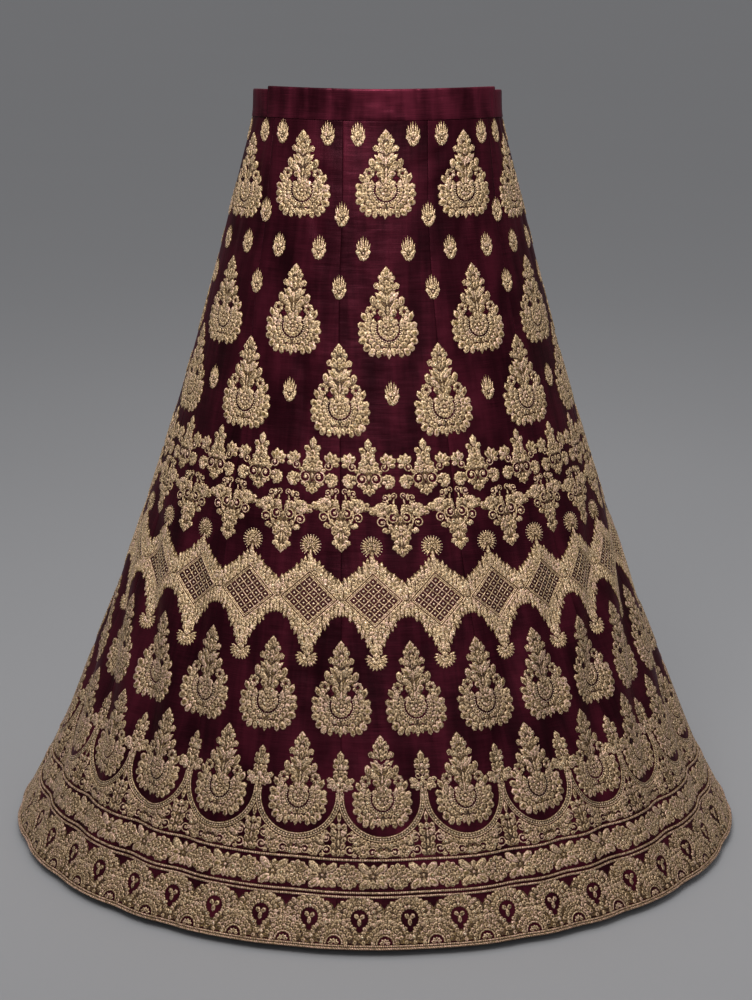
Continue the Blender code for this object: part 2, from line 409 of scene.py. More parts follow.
class Shader:
    """One node material with a Principled shader."""

    def __init__(self, name, **constants):
        self.material = bpy.data.materials.new(name)
        self.material.use_nodes = True
        self.nodes = self.material.node_tree.nodes
        self.links = self.material.node_tree.links
        self.principled = self.nodes["Principled BSDF"]
        for socket, value in constants.items():
            self.principled.inputs[socket.replace("_", " ")].default_value = value

    def node(self, kind, settings=None, values=None, output=0):
        """A node of a kind, its settings first, then the values or links of its sockets."""
        made = self.nodes.new(kind)
        for name, value in (settings or {}).items():
            setattr(made, name, value)
        pairs = values.items() if isinstance(values, dict) else enumerate(values or [])
        for socket, value in pairs:
            self.join(made.inputs[socket], value)
        return Wire(self, made.outputs[output])

    def join(self, socket, value):
        if isinstance(value, Wire):
            self.links.new(value.socket, socket)
        else:
            socket.default_value = value

    def set(self, **values):
        """Feed the Principled shader's own sockets."""
        for socket, value in values.items():
            self.join(self.principled.inputs[socket.replace("_", " ")], value)
        return self.material

    def point_value(self, name, output="Fac"):
        """A value stored at the mesh's points: output Fac is a number, Vector a vector."""
        return self.node("ShaderNodeAttribute", {"attribute_name": name}, output=output)

    def place(self):
        """Where a point is, in metres."""
        return self.node("ShaderNodeTexCoord", output="Object")

    def noise(self, vector, scale, detail=2.0, roughness=0.5):
        values = {"Vector": vector, "Scale": scale, "Detail": detail, "Roughness": roughness}
        return self.node("ShaderNodeTexNoise", {}, values)

    def bump(self, height, distance, strength=1.0):
        return self.node("ShaderNodeBump", {}, {"Height": height, "Distance": distance, "Strength": strength})


def silk_material(name, dark, light):
    """Silk taffeta: a fine cross weave with slubs and a soft lustre, in streaks and clouds that are partly
    the weave's own tone and partly painted sheen, with painted shadows of drag folds.
    """
    shader = Shader(name, Specular_IOR_Level=0.18, Metallic=0.42, Specular_Tint=(1.0, 0.34, 0.46, 1.0))
    cloth = shader.point_value("cloth", "Vector")
    streaks = shader.noise(cloth.stretched((1.0, 0.10, 1.0)), scale=46.0, detail=3.0, roughness=0.6)
    clouds = shader.noise(cloth, scale=9.0)
    slubs = shader.noise(cloth.stretched((0.035, 1.0, 1.0)), scale=900.0)
    yarns = shader.noise(cloth.stretched((1.0, 0.05, 1.0)), scale=1500.0, detail=1.0)
    drawn = shader.noise(cloth.stretched((0.30, 1.0, 1.0)), scale=60.0)
    # Streaks and clouds between dark and light silk: partly the weave's own tone, partly painted sheen.
    shade = (streaks * 0.42 + clouds * 0.38 + slubs * 0.20).between(0.38, 0.63)
    tone = shade.mix(opaque(dark), opaque(light))
    # Painted shadows of drag folds: soft patches of silk darkened to about half.
    painted_fold_shadows = shader.noise(cloth.stretched((1.0, 0.5, 1.0)), scale=22.0, detail=3.0)
    tone = tone.dimmed(painted_fold_shadows.between(0.36, 0.56) * 0.56 + 0.56)
    # Darker at seams and joins, and painted shade along the waistband's fold.
    seam = shader.point_value("seam")
    tone = (seam * 0.22).mix(tone, opaque(SEAM_COLOUR))
    height = slubs * 0.4 + yarns * 0.3 + drawn * 4.4 + streaks * 4.6 + clouds * 16.0
    rough = 0.32 + slubs * 0.10 + streaks * 0.08
    weave = shader.bump(height, distance=0.00030, strength=0.85)
    return shader.set(Base_Color=tone, Roughness=rough, Normal=weave)


def gold_material(name, colours, pale, tarnish):
    """Couched metal thread with a fine twist: painted highlights make it pale on its crests and painted shade
    makes it brown in its hollows.
    """
    shader = Shader(name, Specular_IOR_Level=0.22)
    relief = shader.point_value("relief")
    shade = shader.point_value("shade")
    spark = shader.point_value("spark")
    place = shader.place()
    grain = shader.noise(place, scale=1100.0, detail=1.0)
    twist = shader.noise(place, scale=560.0, roughness=0.62)
    patches = shader.noise(place, scale=60.0, detail=1.0)
    # Relief sets painted light, a pale painted highlight on crests and painted shade in hollows, broken up by
    # the thread's grain and twist, more so where the lower motifs have painted shade.
    relief_light_and_twist = relief + (grain - 0.5) * 0.8 + (twist - 0.5) * (1.2 + tarnish * 2.0)
    olive = (shade * 0.6 + patches * 0.6).between(0.30, 0.75)
    body = olive.mix(opaque(colours.gold_middle), opaque(colours.gold_olive))
    rosy = (shade * 0.5 + patches * 0.7 + pale + tarnish * 0.4).between(0.50, 0.90)
    crest = rosy.mix(opaque(colours.gold_light), opaque(colours.gold_rosy))
    thread = relief.between(*BARE_FADE)
    tone = thread.mix(opaque(colours.silk_light), opaque(colours.gold_shadow))
    tone = relief_light_and_twist.between(-0.30, 0.50).mix(tone, body)
    tone = relief_light_and_twist.between(0.45, 1.15).mix(tone, crest)
    # Brightness: painted glints along the twist and a random tone for each stitch, all dimmed by the lower
    # motifs' painted shade.
    glints_tone_and_shade = (twist.between(0.34, 0.68) * 0.95 + shade * 0.34 + 0.42) * (1.0 - tarnish)
    tone = tone.dimmed(glints_tone_and_shade)
    # Beads and sequins turn to a painted glint.
    tone = spark.mix(tone, opaque(SPARK_COLOUR))
    rough = 0.50 + (grain - 0.5) * 0.3 - spark * 0.26
    metal = 0.90 - thread * 0.60 + relief_light_and_twist.between(0.2, 0.9) * 0.20 + spark * 0.2
    twisted = shader.bump(grain + twist * 1.6, distance=0.0005, strength=0.9)
    return shader.set(Base_Color=tone, Roughness=rough, Metallic=metal, Normal=twisted)


def floor_material(stage):
    """A matt pale floor with the faintest mottling."""
    shader = Shader("pale floor", Specular_IOR_Level=0.25)
    mottling = shader.noise(shader.place(), scale=1.6)
    low = opaque(0.97 * part for part in stage.floor_colour)
    high = opaque(stage.floor_colour)
    return shader.set(Base_Color=mottling.mix(low, high), Roughness=0.78 + mottling * 0.06)


# ---------------------------------------------------------------- gold work

# How high the stitches stand, in millimetres, and their reliefs, 0 in a hollow and 1 on a
# crest. Down BARE_FADE the thread's ground gives way to the colour of bare silk.
# A relief sets painted light: a pale painted highlight on a crest, painted shade in a hollow.
PETAL_RISE = 1.15
LOOP_RISE = PETAL_RISE * 0.9
LEAF_RISE = PETAL_RISE * 0.95
KNOT_RISE = PETAL_RISE * 1.12
CURL_RISE = PETAL_RISE * 1.15
HOLLOW_RISE = PETAL_RISE * 0.4
CORD_RISE = 1.2
PAD_RISE = 0.42
# A pad's low relief gives it painted shade between the stitches.
PAD_RELIEF = -0.12
HOLE_LIFT = 0.52
HOLE_RELIEF = -3.0
BARE_RELIEF = -2.42
BARE_FADE = (-2.6, -2.2)
FOOT_RELIEF = 0.34
HOLLOW_RELIEFS = (-0.50, 0.55)
FINE_RELIEFS = (-0.10, 0.80)
KNOT_RELIEFS = (0.40, 0.95, 1.0)
LEAF_FOOT_RELIEF = 0.45
SEED_RELIEF = 0.7
STRAND_FOOT_RELIEF = 0.35

# A petal narrower than FINE has a paler hollow, and from BROAD up it has more sides.
# THREAD is the breadth of the raised thread. Every stitch sways by a few degrees from
# how it is drawn, and its length varies a little.
FINE = 4.8
BROAD = 7.5
THREAD = 1.5
PETAL_SWAY = 6
PETAL_LENGTHS = (0.94, 1.07)
PETAL_FOOT = 0.90
PETAL_SPREAD = 0.32
PETAL_LEAST_CREST = 0.62
LOOP_SWAY = 4
LOOP_LENGTHS = (0.94, 1.06)
LOOP_LEAST_CREST = 0.56
LEAF_SWAY = 3
KNOT_CREST = 0.62
KNOT_SIDES = 6
HOLE_SIDES = 8

# Seed beads and sequins: how many petals carry one, and where along them.
SEQUINNED = 0.16
SEQUIN_AT = 0.55
SEQUIN_SIZES = (1.3, 2.2)
SEQUIN_LIFT = 0.6
# A spark is how far a bead's colour turns to a painted glint.
SEQUIN_SPARK = 0.85
SEED_SIDES = 5
SEED_TIP = 0.22
SEED_HEIGHT = 0.36
DOT_SPARK = 0.12

# Steps along cords and pads, an arc's being longer by a share, and how a curl winds in.
STRAND_STEP = 3.0
ARC_STEP = 1.6
GROUND_STEP = 6.0
CURL_GROUND = 1.95
CURL_STEPS = 13
CURL_TIGHTENS = 0.58
CURL_SHARPNESS = 2.2
CURL_KNOT = 0.90

# Outlines as shares of a stitch's width and length. A leaf's last two are its ridge.
LOOP_SHAPE = ((0, 0), (0.42, 0.30), (0.50, 0.68), (0, 1.0), (-0.50, 0.68), (-0.42, 0.30))
LEAF_RIM = ((0, 0), (0.44, 0.30), (0.42, 0.66), (0, 1), (-0.42, 0.66), (-0.44, 0.30))
LEAF_SHAPE = (*LEAF_RIM, (0, 0.28), (0, 0.72))
LEAF_FACES = ((0, 1, 6), (1, 2, 7), (1, 7, 6), (2, 3, 7), (3, 4, 7), (4, 5, 6), (4, 6, 7), (5, 0, 6))

# What a motif is drawn with. Sizes are in millimetres, turns in degrees clockwise
# from up. Sides is 2 where there is a mirrored twin on the other side of x = 0.
Petal, Loop, Leaf, Bead, Hole = (
    namedtuple(stitch, "x y turn length width sides", defaults=(2,))
    for stitch in ("Petal", "Loop", "Leaf", "Bead", "Hole")
)
Fan = namedtuple("Fan", "stitch x y radius count first last length width sides", defaults=(1,))
Line = namedtuple("Line", "path width rise sides", defaults=(PAD_RISE, 1))
Arc = namedtuple("Arc", "x y radius first last width rise sides", defaults=(PAD_RISE, 1))
Curl = namedtuple("Curl", "x y radius start turns width sides", defaults=(2,))


def cone_faces(sides):
    """Triangles from the points of a rim to the point that comes after them."""
    return [(step, (step + 1) % sides, sides) for step in range(sides)]


class Stitchwork:
    """Raised stitches drawn flat, as points with a relief from 0 in a hollow to 1 on a crest."""

    def __init__(self, seed):
        self.points = []
        self.values = []
        self.faces = []
        self.stitches = 0
        self.hand = np.random.default_rng(seed)

    def add(self, points, faces, spark=0.0):
        """One stitch: rows of x, y, z and relief, and its faces."""
        start = len(self.points)
        self.points.extend(row[:3] for row in points)
        self.values.extend((row[3], self.stitches, spark) for row in points)
        self.faces.extend([start + index for index in face] for face in faces)
        self.stitches += 1

    def cup(self, x, y, turn, outline, crest, rise, middle, reliefs):
        """A stitch with an outline, a ring of crest points inside it and a middle."""
        turn = math.radians(turn)
        sine, cosine = math.sin(turn), math.cos(turn)
        centre = sum(along for _, along in outline) / len(outline)
        rows = []
        for scale, lift, relief in ((1.0, 0.0, reliefs[0]), (crest, rise, reliefs[1])):
            for across, along in outline:
                side, ahead = across * scale, centre + (along - centre) * scale
                at_x = x + side * cosine + ahead * sine
                rows.append((at_x, y - side * sine + ahead * cosine, lift, relief))
        rows.append((x + centre * sine, y + centre * cosine, middle, reliefs[2]))
        count = len(outline)
        faces = []
        for index in range(count):
            after = (index + 1) % count
            faces.append((index, after, count + after))
            faces.append((index, count + after, count + index))
            faces.append((count + index, count + after, 2 * count))
        self.add(rows, faces)

    def petal(self, x, y, turn, length, width):
        """A looped petal: a raised thread round a hollow, wider at its outer end."""
        turn += self.hand.uniform(-PETAL_SWAY, PETAL_SWAY)
        length *= self.hand.uniform(*PETAL_LENGTHS)
        sides = 8 if width >= BROAD else 6
        outline = []
        for step in range(sides):
            phase = TAU * step / sides
            along = length * (0.5 - 0.5 * math.cos(phase))
            spread = PETAL_FOOT + PETAL_SPREAD * along / length
            outline.append((width / 2 * math.sin(phase) * spread, along))
        crest = max(1 - THREAD / width, PETAL_LEAST_CREST)
        hollow = self.hand.uniform(*(FINE_RELIEFS if width < FINE else HOLLOW_RELIEFS))
        self.cup(x, y, turn, outline, crest, PETAL_RISE, HOLLOW_RISE, (FOOT_RELIEF, 1.0, hollow))
        if self.hand.random() < SEQUINNED:
            angle = math.radians(turn)
            size = self.hand.uniform(*SEQUIN_SIZES)
            at_x = x + length * SEQUIN_AT * math.sin(angle)
            at_y = y + length * SEQUIN_AT * math.cos(angle)
            self.seed(at_x, at_y, SEQUIN_LIFT, size, SEQUIN_SPARK)

    def loop(self, x, y, turn, length, width):
        """A slim looped stitch with a low hollow."""
        turn += self.hand.uniform(-LOOP_SWAY, LOOP_SWAY)
        length *= self.hand.uniform(*LOOP_LENGTHS)
        outline = [(across * width, along * length) for across, along in LOOP_SHAPE]
        crest = max(1 - THREAD / width, LOOP_LEAST_CREST)
        reliefs = (FOOT_RELIEF, 1.0, self.hand.uniform(*HOLLOW_RELIEFS))
        self.cup(x, y, turn, outline, crest, LOOP_RISE, HOLLOW_RISE, reliefs)

    def leaf(self, x, y, turn, length, width):
        """A pointed satin stitch with a ridge down its middle."""
        angle = math.radians(turn + self.hand.uniform(-LEAF_SWAY, LEAF_SWAY))
        sine, cosine = math.sin(angle), math.cos(angle)
        rows = []
        for index, (across, along) in enumerate(LEAF_SHAPE):
            side, ahead = across * width, along * length
            lift, relief = (0.0, LEAF_FOOT_RELIEF) if index < len(LEAF_RIM) else (LEAF_RISE, 1.0)
            at_x = x + side * cosine + ahead * sine
            rows.append((at_x, y - side * sine + ahead * cosine, lift, relief))
        self.add(rows, LEAF_FACES)

    def bead(self, x, y, turn, length, width):
        """A round knot."""
        phases = [TAU * step / KNOT_SIDES for step in range(KNOT_SIDES)]
        outline = [(width / 2 * math.sin(phase), -length / 2 * math.cos(phase)) for phase in phases]
        self.cup(x, y, turn, outline, KNOT_CREST, LOOP_RISE, KNOT_RISE, KNOT_RELIEFS)

    def seed(self, x, y, lift, width, spark):
        """A small faceted bead or sequin that stands on what is at its lift."""
        tilt = self.hand.uniform(0, TAU)
        rows = []
        for step in range(SEED_SIDES):
            phase = TAU * step / SEED_SIDES + tilt
            at_x = x + width / 2 * math.cos(phase)
            rows.append((at_x, y + width / 2 * math.sin(phase), lift, SEED_RELIEF))
        tip = SEED_TIP * width
        top = lift + SEED_HEIGHT * width
        rows.append((x + tip * math.cos(tilt), y + tip * math.sin(tilt), top, 1.0))
        self.add(rows, cone_faces(SEED_SIDES), spark)

    def dot(self, x, y, turn, length, width):
        """A seed bead, threaded among the stitches or on a pad."""
        self.seed(x, y, PAD_RISE * 0.9, width, DOT_SPARK)

    def hole(self, x, y, turn, length, width):
        """A flat patch left dark, where the ground shows between the threads."""
        turn = math.radians(turn)
        rows = []
        for step in range(HOLE_SIDES):
            phase = TAU * step / HOLE_SIDES
            side, ahead = width / 2 * math.cos(phase), length / 2 * math.sin(phase)
            at_x = x + side * math.cos(turn) + ahead * math.sin(turn)
            rows.append((at_x, y - side * math.sin(turn) + ahead * math.cos(turn), HOLE_LIFT, HOLE_RELIEF))
        rows.append((x, y, HOLE_LIFT, HOLE_RELIEF))
        self.add(rows, cone_faces(HOLE_SIDES))

    def patch(self, reach, steps, lift, relief):
        """A flat diamond of ground, in small squares so that it follows the cloth."""
        rows = []
        for row in range(steps + 1):
            for column in range(steps + 1):
                across = reach * (2 * row / steps - 1)
                along = reach * (2 * column / steps - 1)
                rows.append(((across - along) / 2, (across + along) / 2, lift, relief))
        faces = []
        for row in range(steps):
            for column in range(steps):
                corner = row * (steps + 1) + column
                faces.append((corner, corner + steps + 1, corner + steps + 2))
                faces.append((corner, corner + steps + 2, corner + 1))
        self.add(rows, faces)

    def strand(self, path, width, rise, crest=1.0):
        """A laid cord, or a low pad where its rise is small, along a path."""
        path = np.asarray(path, dtype=float)
        ahead = np.gradient(path, axis=0)
        ahead /= np.linalg.norm(ahead, axis=1, keepdims=True)
        side = np.stack([ahead[:, 1], -ahead[:, 0]], axis=1) * width / 2
        rows = []
        for (x, y), (right_x, right_y) in zip(path, side):
            rows.append((x - right_x, y - right_y, 0.0, STRAND_FOOT_RELIEF * crest))
            rows.append((x, y, rise, crest))
            rows.append((x + right_x, y + right_y, 0.0, STRAND_FOOT_RELIEF * crest))
        faces = []
        for left in range(0, 3 * (len(path) - 1), 3):
            for low in (left, left + 1):
                faces.append((low, low + 1, low + 4))
                faces.append((low, low + 4, low + 3))
        self.add(rows, faces)

    def ground(self, path, width):
        """A low pad under a cluster of stitches, in steps short enough to follow a fold."""
        spots = np.asarray(path, dtype=float)
        lengths = np.hypot(*np.diff(spots, axis=0).T)
        gone = np.concatenate([[0.0], np.cumsum(lengths)])
        steps = np.linspace(0.0, gone[-1], math.ceil(gone[-1] / GROUND_STEP) + 1)
        fine_path = np.stack([np.interp(steps, gone, column) for column in spots.T], axis=1)
        self.strand(fine_path, width, PAD_RISE, PAD_RELIEF)

    def curl(self, x, y, radius, start, turns, width, hand):
        """A cord that hooks round a knot, over a dark ground."""
        self.hole(x, y, 0, CURL_GROUND * radius, CURL_GROUND * radius)
        steps = max(10, round(abs(turns) * CURL_STEPS))
        path = []
        for step in range(steps + 1):
            share = step / steps
            angle = math.radians(start) * hand + hand * TAU * turns * share
            size = radius * (1 - CURL_TIGHTENS * share**CURL_SHARPNESS)
            path.append((x + size * math.sin(angle), y + size * math.cos(angle)))
        self.strand(path, width, CURL_RISE)
        self.bead(x, y, 0, radius * CURL_KNOT, radius * CURL_KNOT)

    def draw(self, marks):
        """Work every mark of a motif, and the mirrored twins."""
        for mark in marks:
            kind = type(mark).__name__.lower()
            draw = getattr(self, "draw_" + kind, None) or partial(self.draw_stitch, kind)
            for hand in (1, -1)[: mark.sides]:
                draw(mark, hand)
        return self

    def draw_stitch(self, kind, mark, hand):
        getattr(self, kind)(hand * mark.x, mark.y, hand * mark.turn, mark.length, mark.width)

    def draw_fan(self, fan, hand):
        for step in range(fan.count):
            turn = fan.first + (fan.last - fan.first) * step / max(fan.count - 1, 1)
            x = fan.x + fan.radius * math.sin(math.radians(turn))
            y = fan.y + fan.radius * math.cos(math.radians(turn))
            getattr(self, fan.stitch)(hand * x, y, hand * turn, fan.length, fan.width)

    def draw_line(self, line, hand):
        path = smooth_path([(hand * x, y) for x, y in line.path])
        self.strand(path, line.width, line.rise, 1.0 if line.rise > PAD_RISE else PAD_RELIEF)

    def draw_arc(self, arc, hand):
        length = abs(math.radians(arc.last - arc.first)) * arc.radius
        steps = max(4, round(length / STRAND_STEP / ARC_STEP))
        turns = np.radians(np.linspace(arc.first, arc.last, steps + 1))
        across = hand * (arc.x + arc.radius * np.sin(turns))
        path = np.stack([across, arc.y + arc.radius * np.cos(turns)], axis=1)
        self.strand(path, arc.width, arc.rise, 1.0 if arc.rise > PAD_RISE else PAD_RELIEF)

    def draw_curl(self, curl, hand):
        self.curl(hand * curl.x, curl.y, curl.radius, curl.start, curl.turns, curl.width, hand)


def smooth_path(corners):
    """Points on a smooth curve through a few corners."""
    corners = np.asarray(corners, dtype=float)
    lengths = np.r_[0, np.cumsum(np.linalg.norm(np.diff(corners, axis=0), axis=1))]
    slopes = np.gradient(corners, lengths, axis=0)
    made = []
    for index in range(len(corners) - 1):
        span = lengths[index + 1] - lengths[index]
        steps = max(2, round(span / STRAND_STEP))
        ends = (corners[index], slopes[index] * span, corners[index + 1], slopes[index + 1] * span)
        made += [smooth_between(*ends, step / steps) for step in range(steps)]
    return [*made, corners[-1]]


Place = namedtuple("Place", "share drop wide tall")


def fitted(natural, share, drop, room):
    """A width scale, so that a motif takes no more than its room, in panels."""
    return float(min(1.0, room * run_of(share, drop) / PANELS / (natural * MM)))


def lay_motifs(name, jobs, material, seed):
    """Lay motifs on the cloth as one joined piece. A job is a motif and its places."""
    rng = np.random.default_rng(seed)
    points, faces, relief, shade, spark = [], [], [], [], []
    start = 0
    for work, places in jobs:
        flat = np.array(work.points)
        values = np.array(work.values)
        share0, drop0, wide, tall = (np.array(column)[:, None] for column in zip(*places))
        drop = drop0 - flat[:, 1] * MM * tall / slant_of(drop0)
        share = share0 + flat[:, 0] * MM * wide / run_of(share0, drop)
        lift = np.broadcast_to(flat[:, 2] * MM, share.shape)
        points.append(on_cloth(share, drop, lift).reshape(-1, 3))
        block = np.array(work.faces)
        offsets = start + len(flat) * np.arange(len(places))
        faces.append((block[None] + offsets[:, None, None]).reshape(-1, 3))
        start += len(flat) * len(places)
        relief.append(np.tile(values[:, 0], len(places)))
        spark.append(np.tile(values[:, 2], len(places)))
        tints = rng.random((len(places), work.stitches))
        shade.append(tints[:, values[:, 1].astype(int)].ravel())
    values = {"relief": relief, "shade": shade, "spark": spark}
    values = {label: np.concatenate(parts) for label, parts in values.items()}
    link_piece(name, np.concatenate(points), np.concatenate(faces), material, values)


# ---------------------------------------------------------------- motifs

SPRIG_WIDE = 0.90
SPRIG_TALL = 1.14
SPRIG = (
    Arc(0, 8.6, 3.2, 0, 360, 9.0),
    Leaf(0, 11.5, 0, 16.5, 2.8, 1),
    Leaf(2.4, 11.8, 5, 14.6, 2.8),
    Leaf(4.6, 11.0, 10, 12.6, 2.8),
    Leaf(6.2, 9.6, 15, 10.4, 2.8),
    Petal(5.8, 6.4, 34, 6.8, 4.4),
    Fan("petal", 0, 8.6, 2.2, 7, 90, 270, 6.6, 5.2),
    Fan("petal", 0, 9.6, 0.8, 3, -38, 38, 6.8, 4.2),
    Bead(0, 8.6, 0, 3.0, 3.0, 1),
)

# A teardrop flower, 77 wide and 110 tall, from the tip of its lowest petal up.
RIM = (0, 35)
BUTA = (
    Arc(*RIM, 23.0, 60, 300, 15.0),
    Arc(0, 35, 6.2, 0, 360, 12.4),
    Line(((0, 47), (0, 60), (0, 70)), 22.0),
    Line(((0, 70), (0, 77), (0, 84)), 16.0),
    Line(((0, 82), (0, 92), (0, 101)), 12.0),
    Line(((12, 63), (18, 60), (22, 54)), 8.0, sides=2),
    Loop(26.0, 43.5, 24, 13.0, 7.6),
    Petal(25.6, 36.0, 60, 12.8, 8.2),
    Petal(26.4, 29.0, 80, 12.0, 8.2),
    Petal(25.6, 22.4, 102, 11.4, 8.0),
    Petal(22.4, 16.4, 122, 11.2, 8.0),
    Petal(17.8, 12.6, 142, 11.2, 7.6),
    Petal(30.0, 33.6, 70, 6.0, 4.4),
    Petal(29.6, 25.2, 92, 5.6, 4.4),
    Petal(26.0, 18.0, 112, 5.4, 4.2),
    Petal(21.0, 12.6, 130, 5.0, 4.0),
    Petal(13.4, 11.2, 174, 10.0, 6.4),
    Petal(12.0, 13.2, 204, 8.2, 5.6),
    Fan("petal", *RIM, 21.4, 8, 66, 146, 8.4, 6.4, 2),
    Fan("petal", *RIM, 15.8, 9, 64, 168, 6.6, 5.2, 2),
    Fan("dot", *RIM, 15.4, 13, 62, 178, 2.0, 2.0, 2),
    Loop(0, 14.0, 180, 14.0, 5.6, 1),
    Loop(2.4, 13.6, 158, 12.0, 5.2),
    Petal(3.6, 13.4, 128, 7.6, 4.8),
    Hole(6.2, 14.6, 20, 4.6, 3.2),
    Petal(17.2, 36.0, 2, 12.4, 5.2),
    Petal(21.6, 41.0, 8, 11.0, 5.8),
    Petal(24.0, 36.0, 26, 9.0, 6.0),
    Fan("petal", 20.4, 55.8, 2.0, 7, -110, 190, 5.0, 4.9, 2),
    Hole(20.4, 55.8, 0, 3.0, 3.0),
    Fan("petal", 0, 35, 7.2, 12, 60, 300, 6.2, 5.6),
    Fan("petal", 0, 35, 2.4, 8, 0, 315, 5.4, 4.4),
    Bead(0, 35, 0, 3.8, 3.8, 1),
    Petal(4.8, 39.0, 46, 9.8, 7.2),
    Petal(2.6, 41.5, 16, 9.0, 5.2),
    Leaf(0, 41.0, 0, 12.0, 4.8, 1),
    Hole(12.0, 49.6, 0, 9.6, 4.0),
    Hole(12.0, 49.0, 90, 8.6, 4.0),
    Petal(2.8, 54.4, 86, 9.6, 7.2),
    Petal(2.0, 48.4, 40, 7.2, 4.8),
    Loop(1.6, 55.5, 42, 17.5, 6.2),
    Loop(1.4, 66.4, 43, 18.8, 6.4),
    Petal(3.0, 72.6, 44, 10.6, 5.2),
    Loop(5.0, 58.6, 60, 12.0, 5.0),
    Petal(1.4, 69.0, 26, 9.0, 5.0),
    Petal(7.4, 66.4, 66, 7.6, 5.2),
    Leaf(0, 50.0, 0, 15.0, 4.4, 1),
    Leaf(0, 62.0, 0, 16.0, 4.4, 1),
    Petal(4.6, 73.4, 30, 7.2, 4.8),
    Hole(6.6, 78.8, 46, 6.0, 1.3),
    Hole(11.6, 61.4, 0, 2.6, 2.8),
    Petal(16.8, 61.6, 6, 13.0, 7.8),
    Leaf(17.2, 63.6, 6, 9.0, 3.0),
    Arc(12.2, 86.0, 3.5, 0, 360, 2.0, CORD_RISE, 2),
    Petal(11.4, 83.4, 14, 6.0, 4.6),
    Petal(7.6, 80.6, 36, 7.4, 4.8),
    Petal(0, 77.0, 0, 9.5, 5.6, 1),
    Petal(3.0, 80.0, 30, 9.0, 5.4),
    Petal(2.6, 86.0, 46, 8.4, 5.4),
    Petal(0, 85.0, 0, 9.4, 5.6, 1),
    Petal(4.0, 90.5, 36, 9.6, 6.4),
    Petal(2.8, 94.5, 20, 9.6, 5.6),
    Loop(0, 94.5, 0, 15.6, 9.0, 1),
    Leaf(0, 96.0, 0, 11.0, 3.2, 1),
)

# The upright crest of the festoon, 68 wide and 76 tall, from the tip of its lowest bud up.
CREST = (
    Line(((0, 32), (0, 44), (0, 60)), 17.0),
    Line(((0, 11), (0, 20)), 10.0),
    Line(((0, 19), (0, 26), (0, 35)), 27.0),
    Line(((12, 29), (18, 25), (24, 22)), 8.0, sides=2),
    Line(((22, 43), (25, 53)), 8.0, sides=2),
    Loop(0, 60.0, 0, 15.8, 9.4, 1),
    Leaf(0, 61.0, 0, 11.0, 3.2, 1),
    Petal(2.8, 57.0, 42, 10.5, 7.4),
    Petal(1.8, 53.5, 66, 7.6, 5.6),
    Petal(0, 51.0, 0, 9.4, 6.4, 1),
    Fan("petal", 0, 40.0, 5.0, 7, -96, 96, 8.8, 7.0),
    Petal(3.8, 46.5, 26, 8.6, 6.0),
    Fan("petal", 0, 37.5, 1.6, 5, -104, 104, 6.6, 5.6),
    Bead(0, 36.0, 0, 4.8, 4.8, 1),
    Petal(4.6, 34.4, 56, 7.6, 5.6),
    Petal(10.6, 34.6, 74, 7.0, 5.2),
    Curl(8.6, 26.8, 7.0, 10, 1.05, 2.2),
    Petal(0, 25.0, 0, 7.6, 4.4, 1),
    Hole(0, 22.6, 0, 3.6, 2.6, 1),
    Petal(0, 20.4, 180, 6.4, 5.0, 1),
    Petal(3.4, 18.4, 118, 8.0, 6.0),
    Petal(8.6, 19.6, 104, 6.6, 5.0),
    Petal(2.4, 15.0, 142, 7.6, 5.4),
    Loop(0, 15.6, 180, 11.0, 7.2, 1),
    Petal(15.4, 27.6, 82, 7.2, 5.4),
    Petal(15.6, 22.4, 104, 6.8, 5.0),
    Fan("petal", 24.0, 23.4, 1.4, 7, -20, 196, 7.8, 6.2, 2),
    Bead(24.0, 23.4, 0, 4.4, 4.4),
    Curl(20.0, 41.0, 4.8, 60, 0.95, 2.0),
    Petal(21.6, 44.0, -30, 12.0, 6.6),
    Petal(22.6, 45.0, -4, 14.0, 6.8),
    Petal(23.8, 44.6, 22, 13.6, 6.8),
    Petal(25.0, 44.6, 52, 11.2, 6.6),
    Petal(25.0, 42.6, 88, 9.0, 6.0),
    Petal(23.4, 42.0, 26, 8.6, 5.6),
)

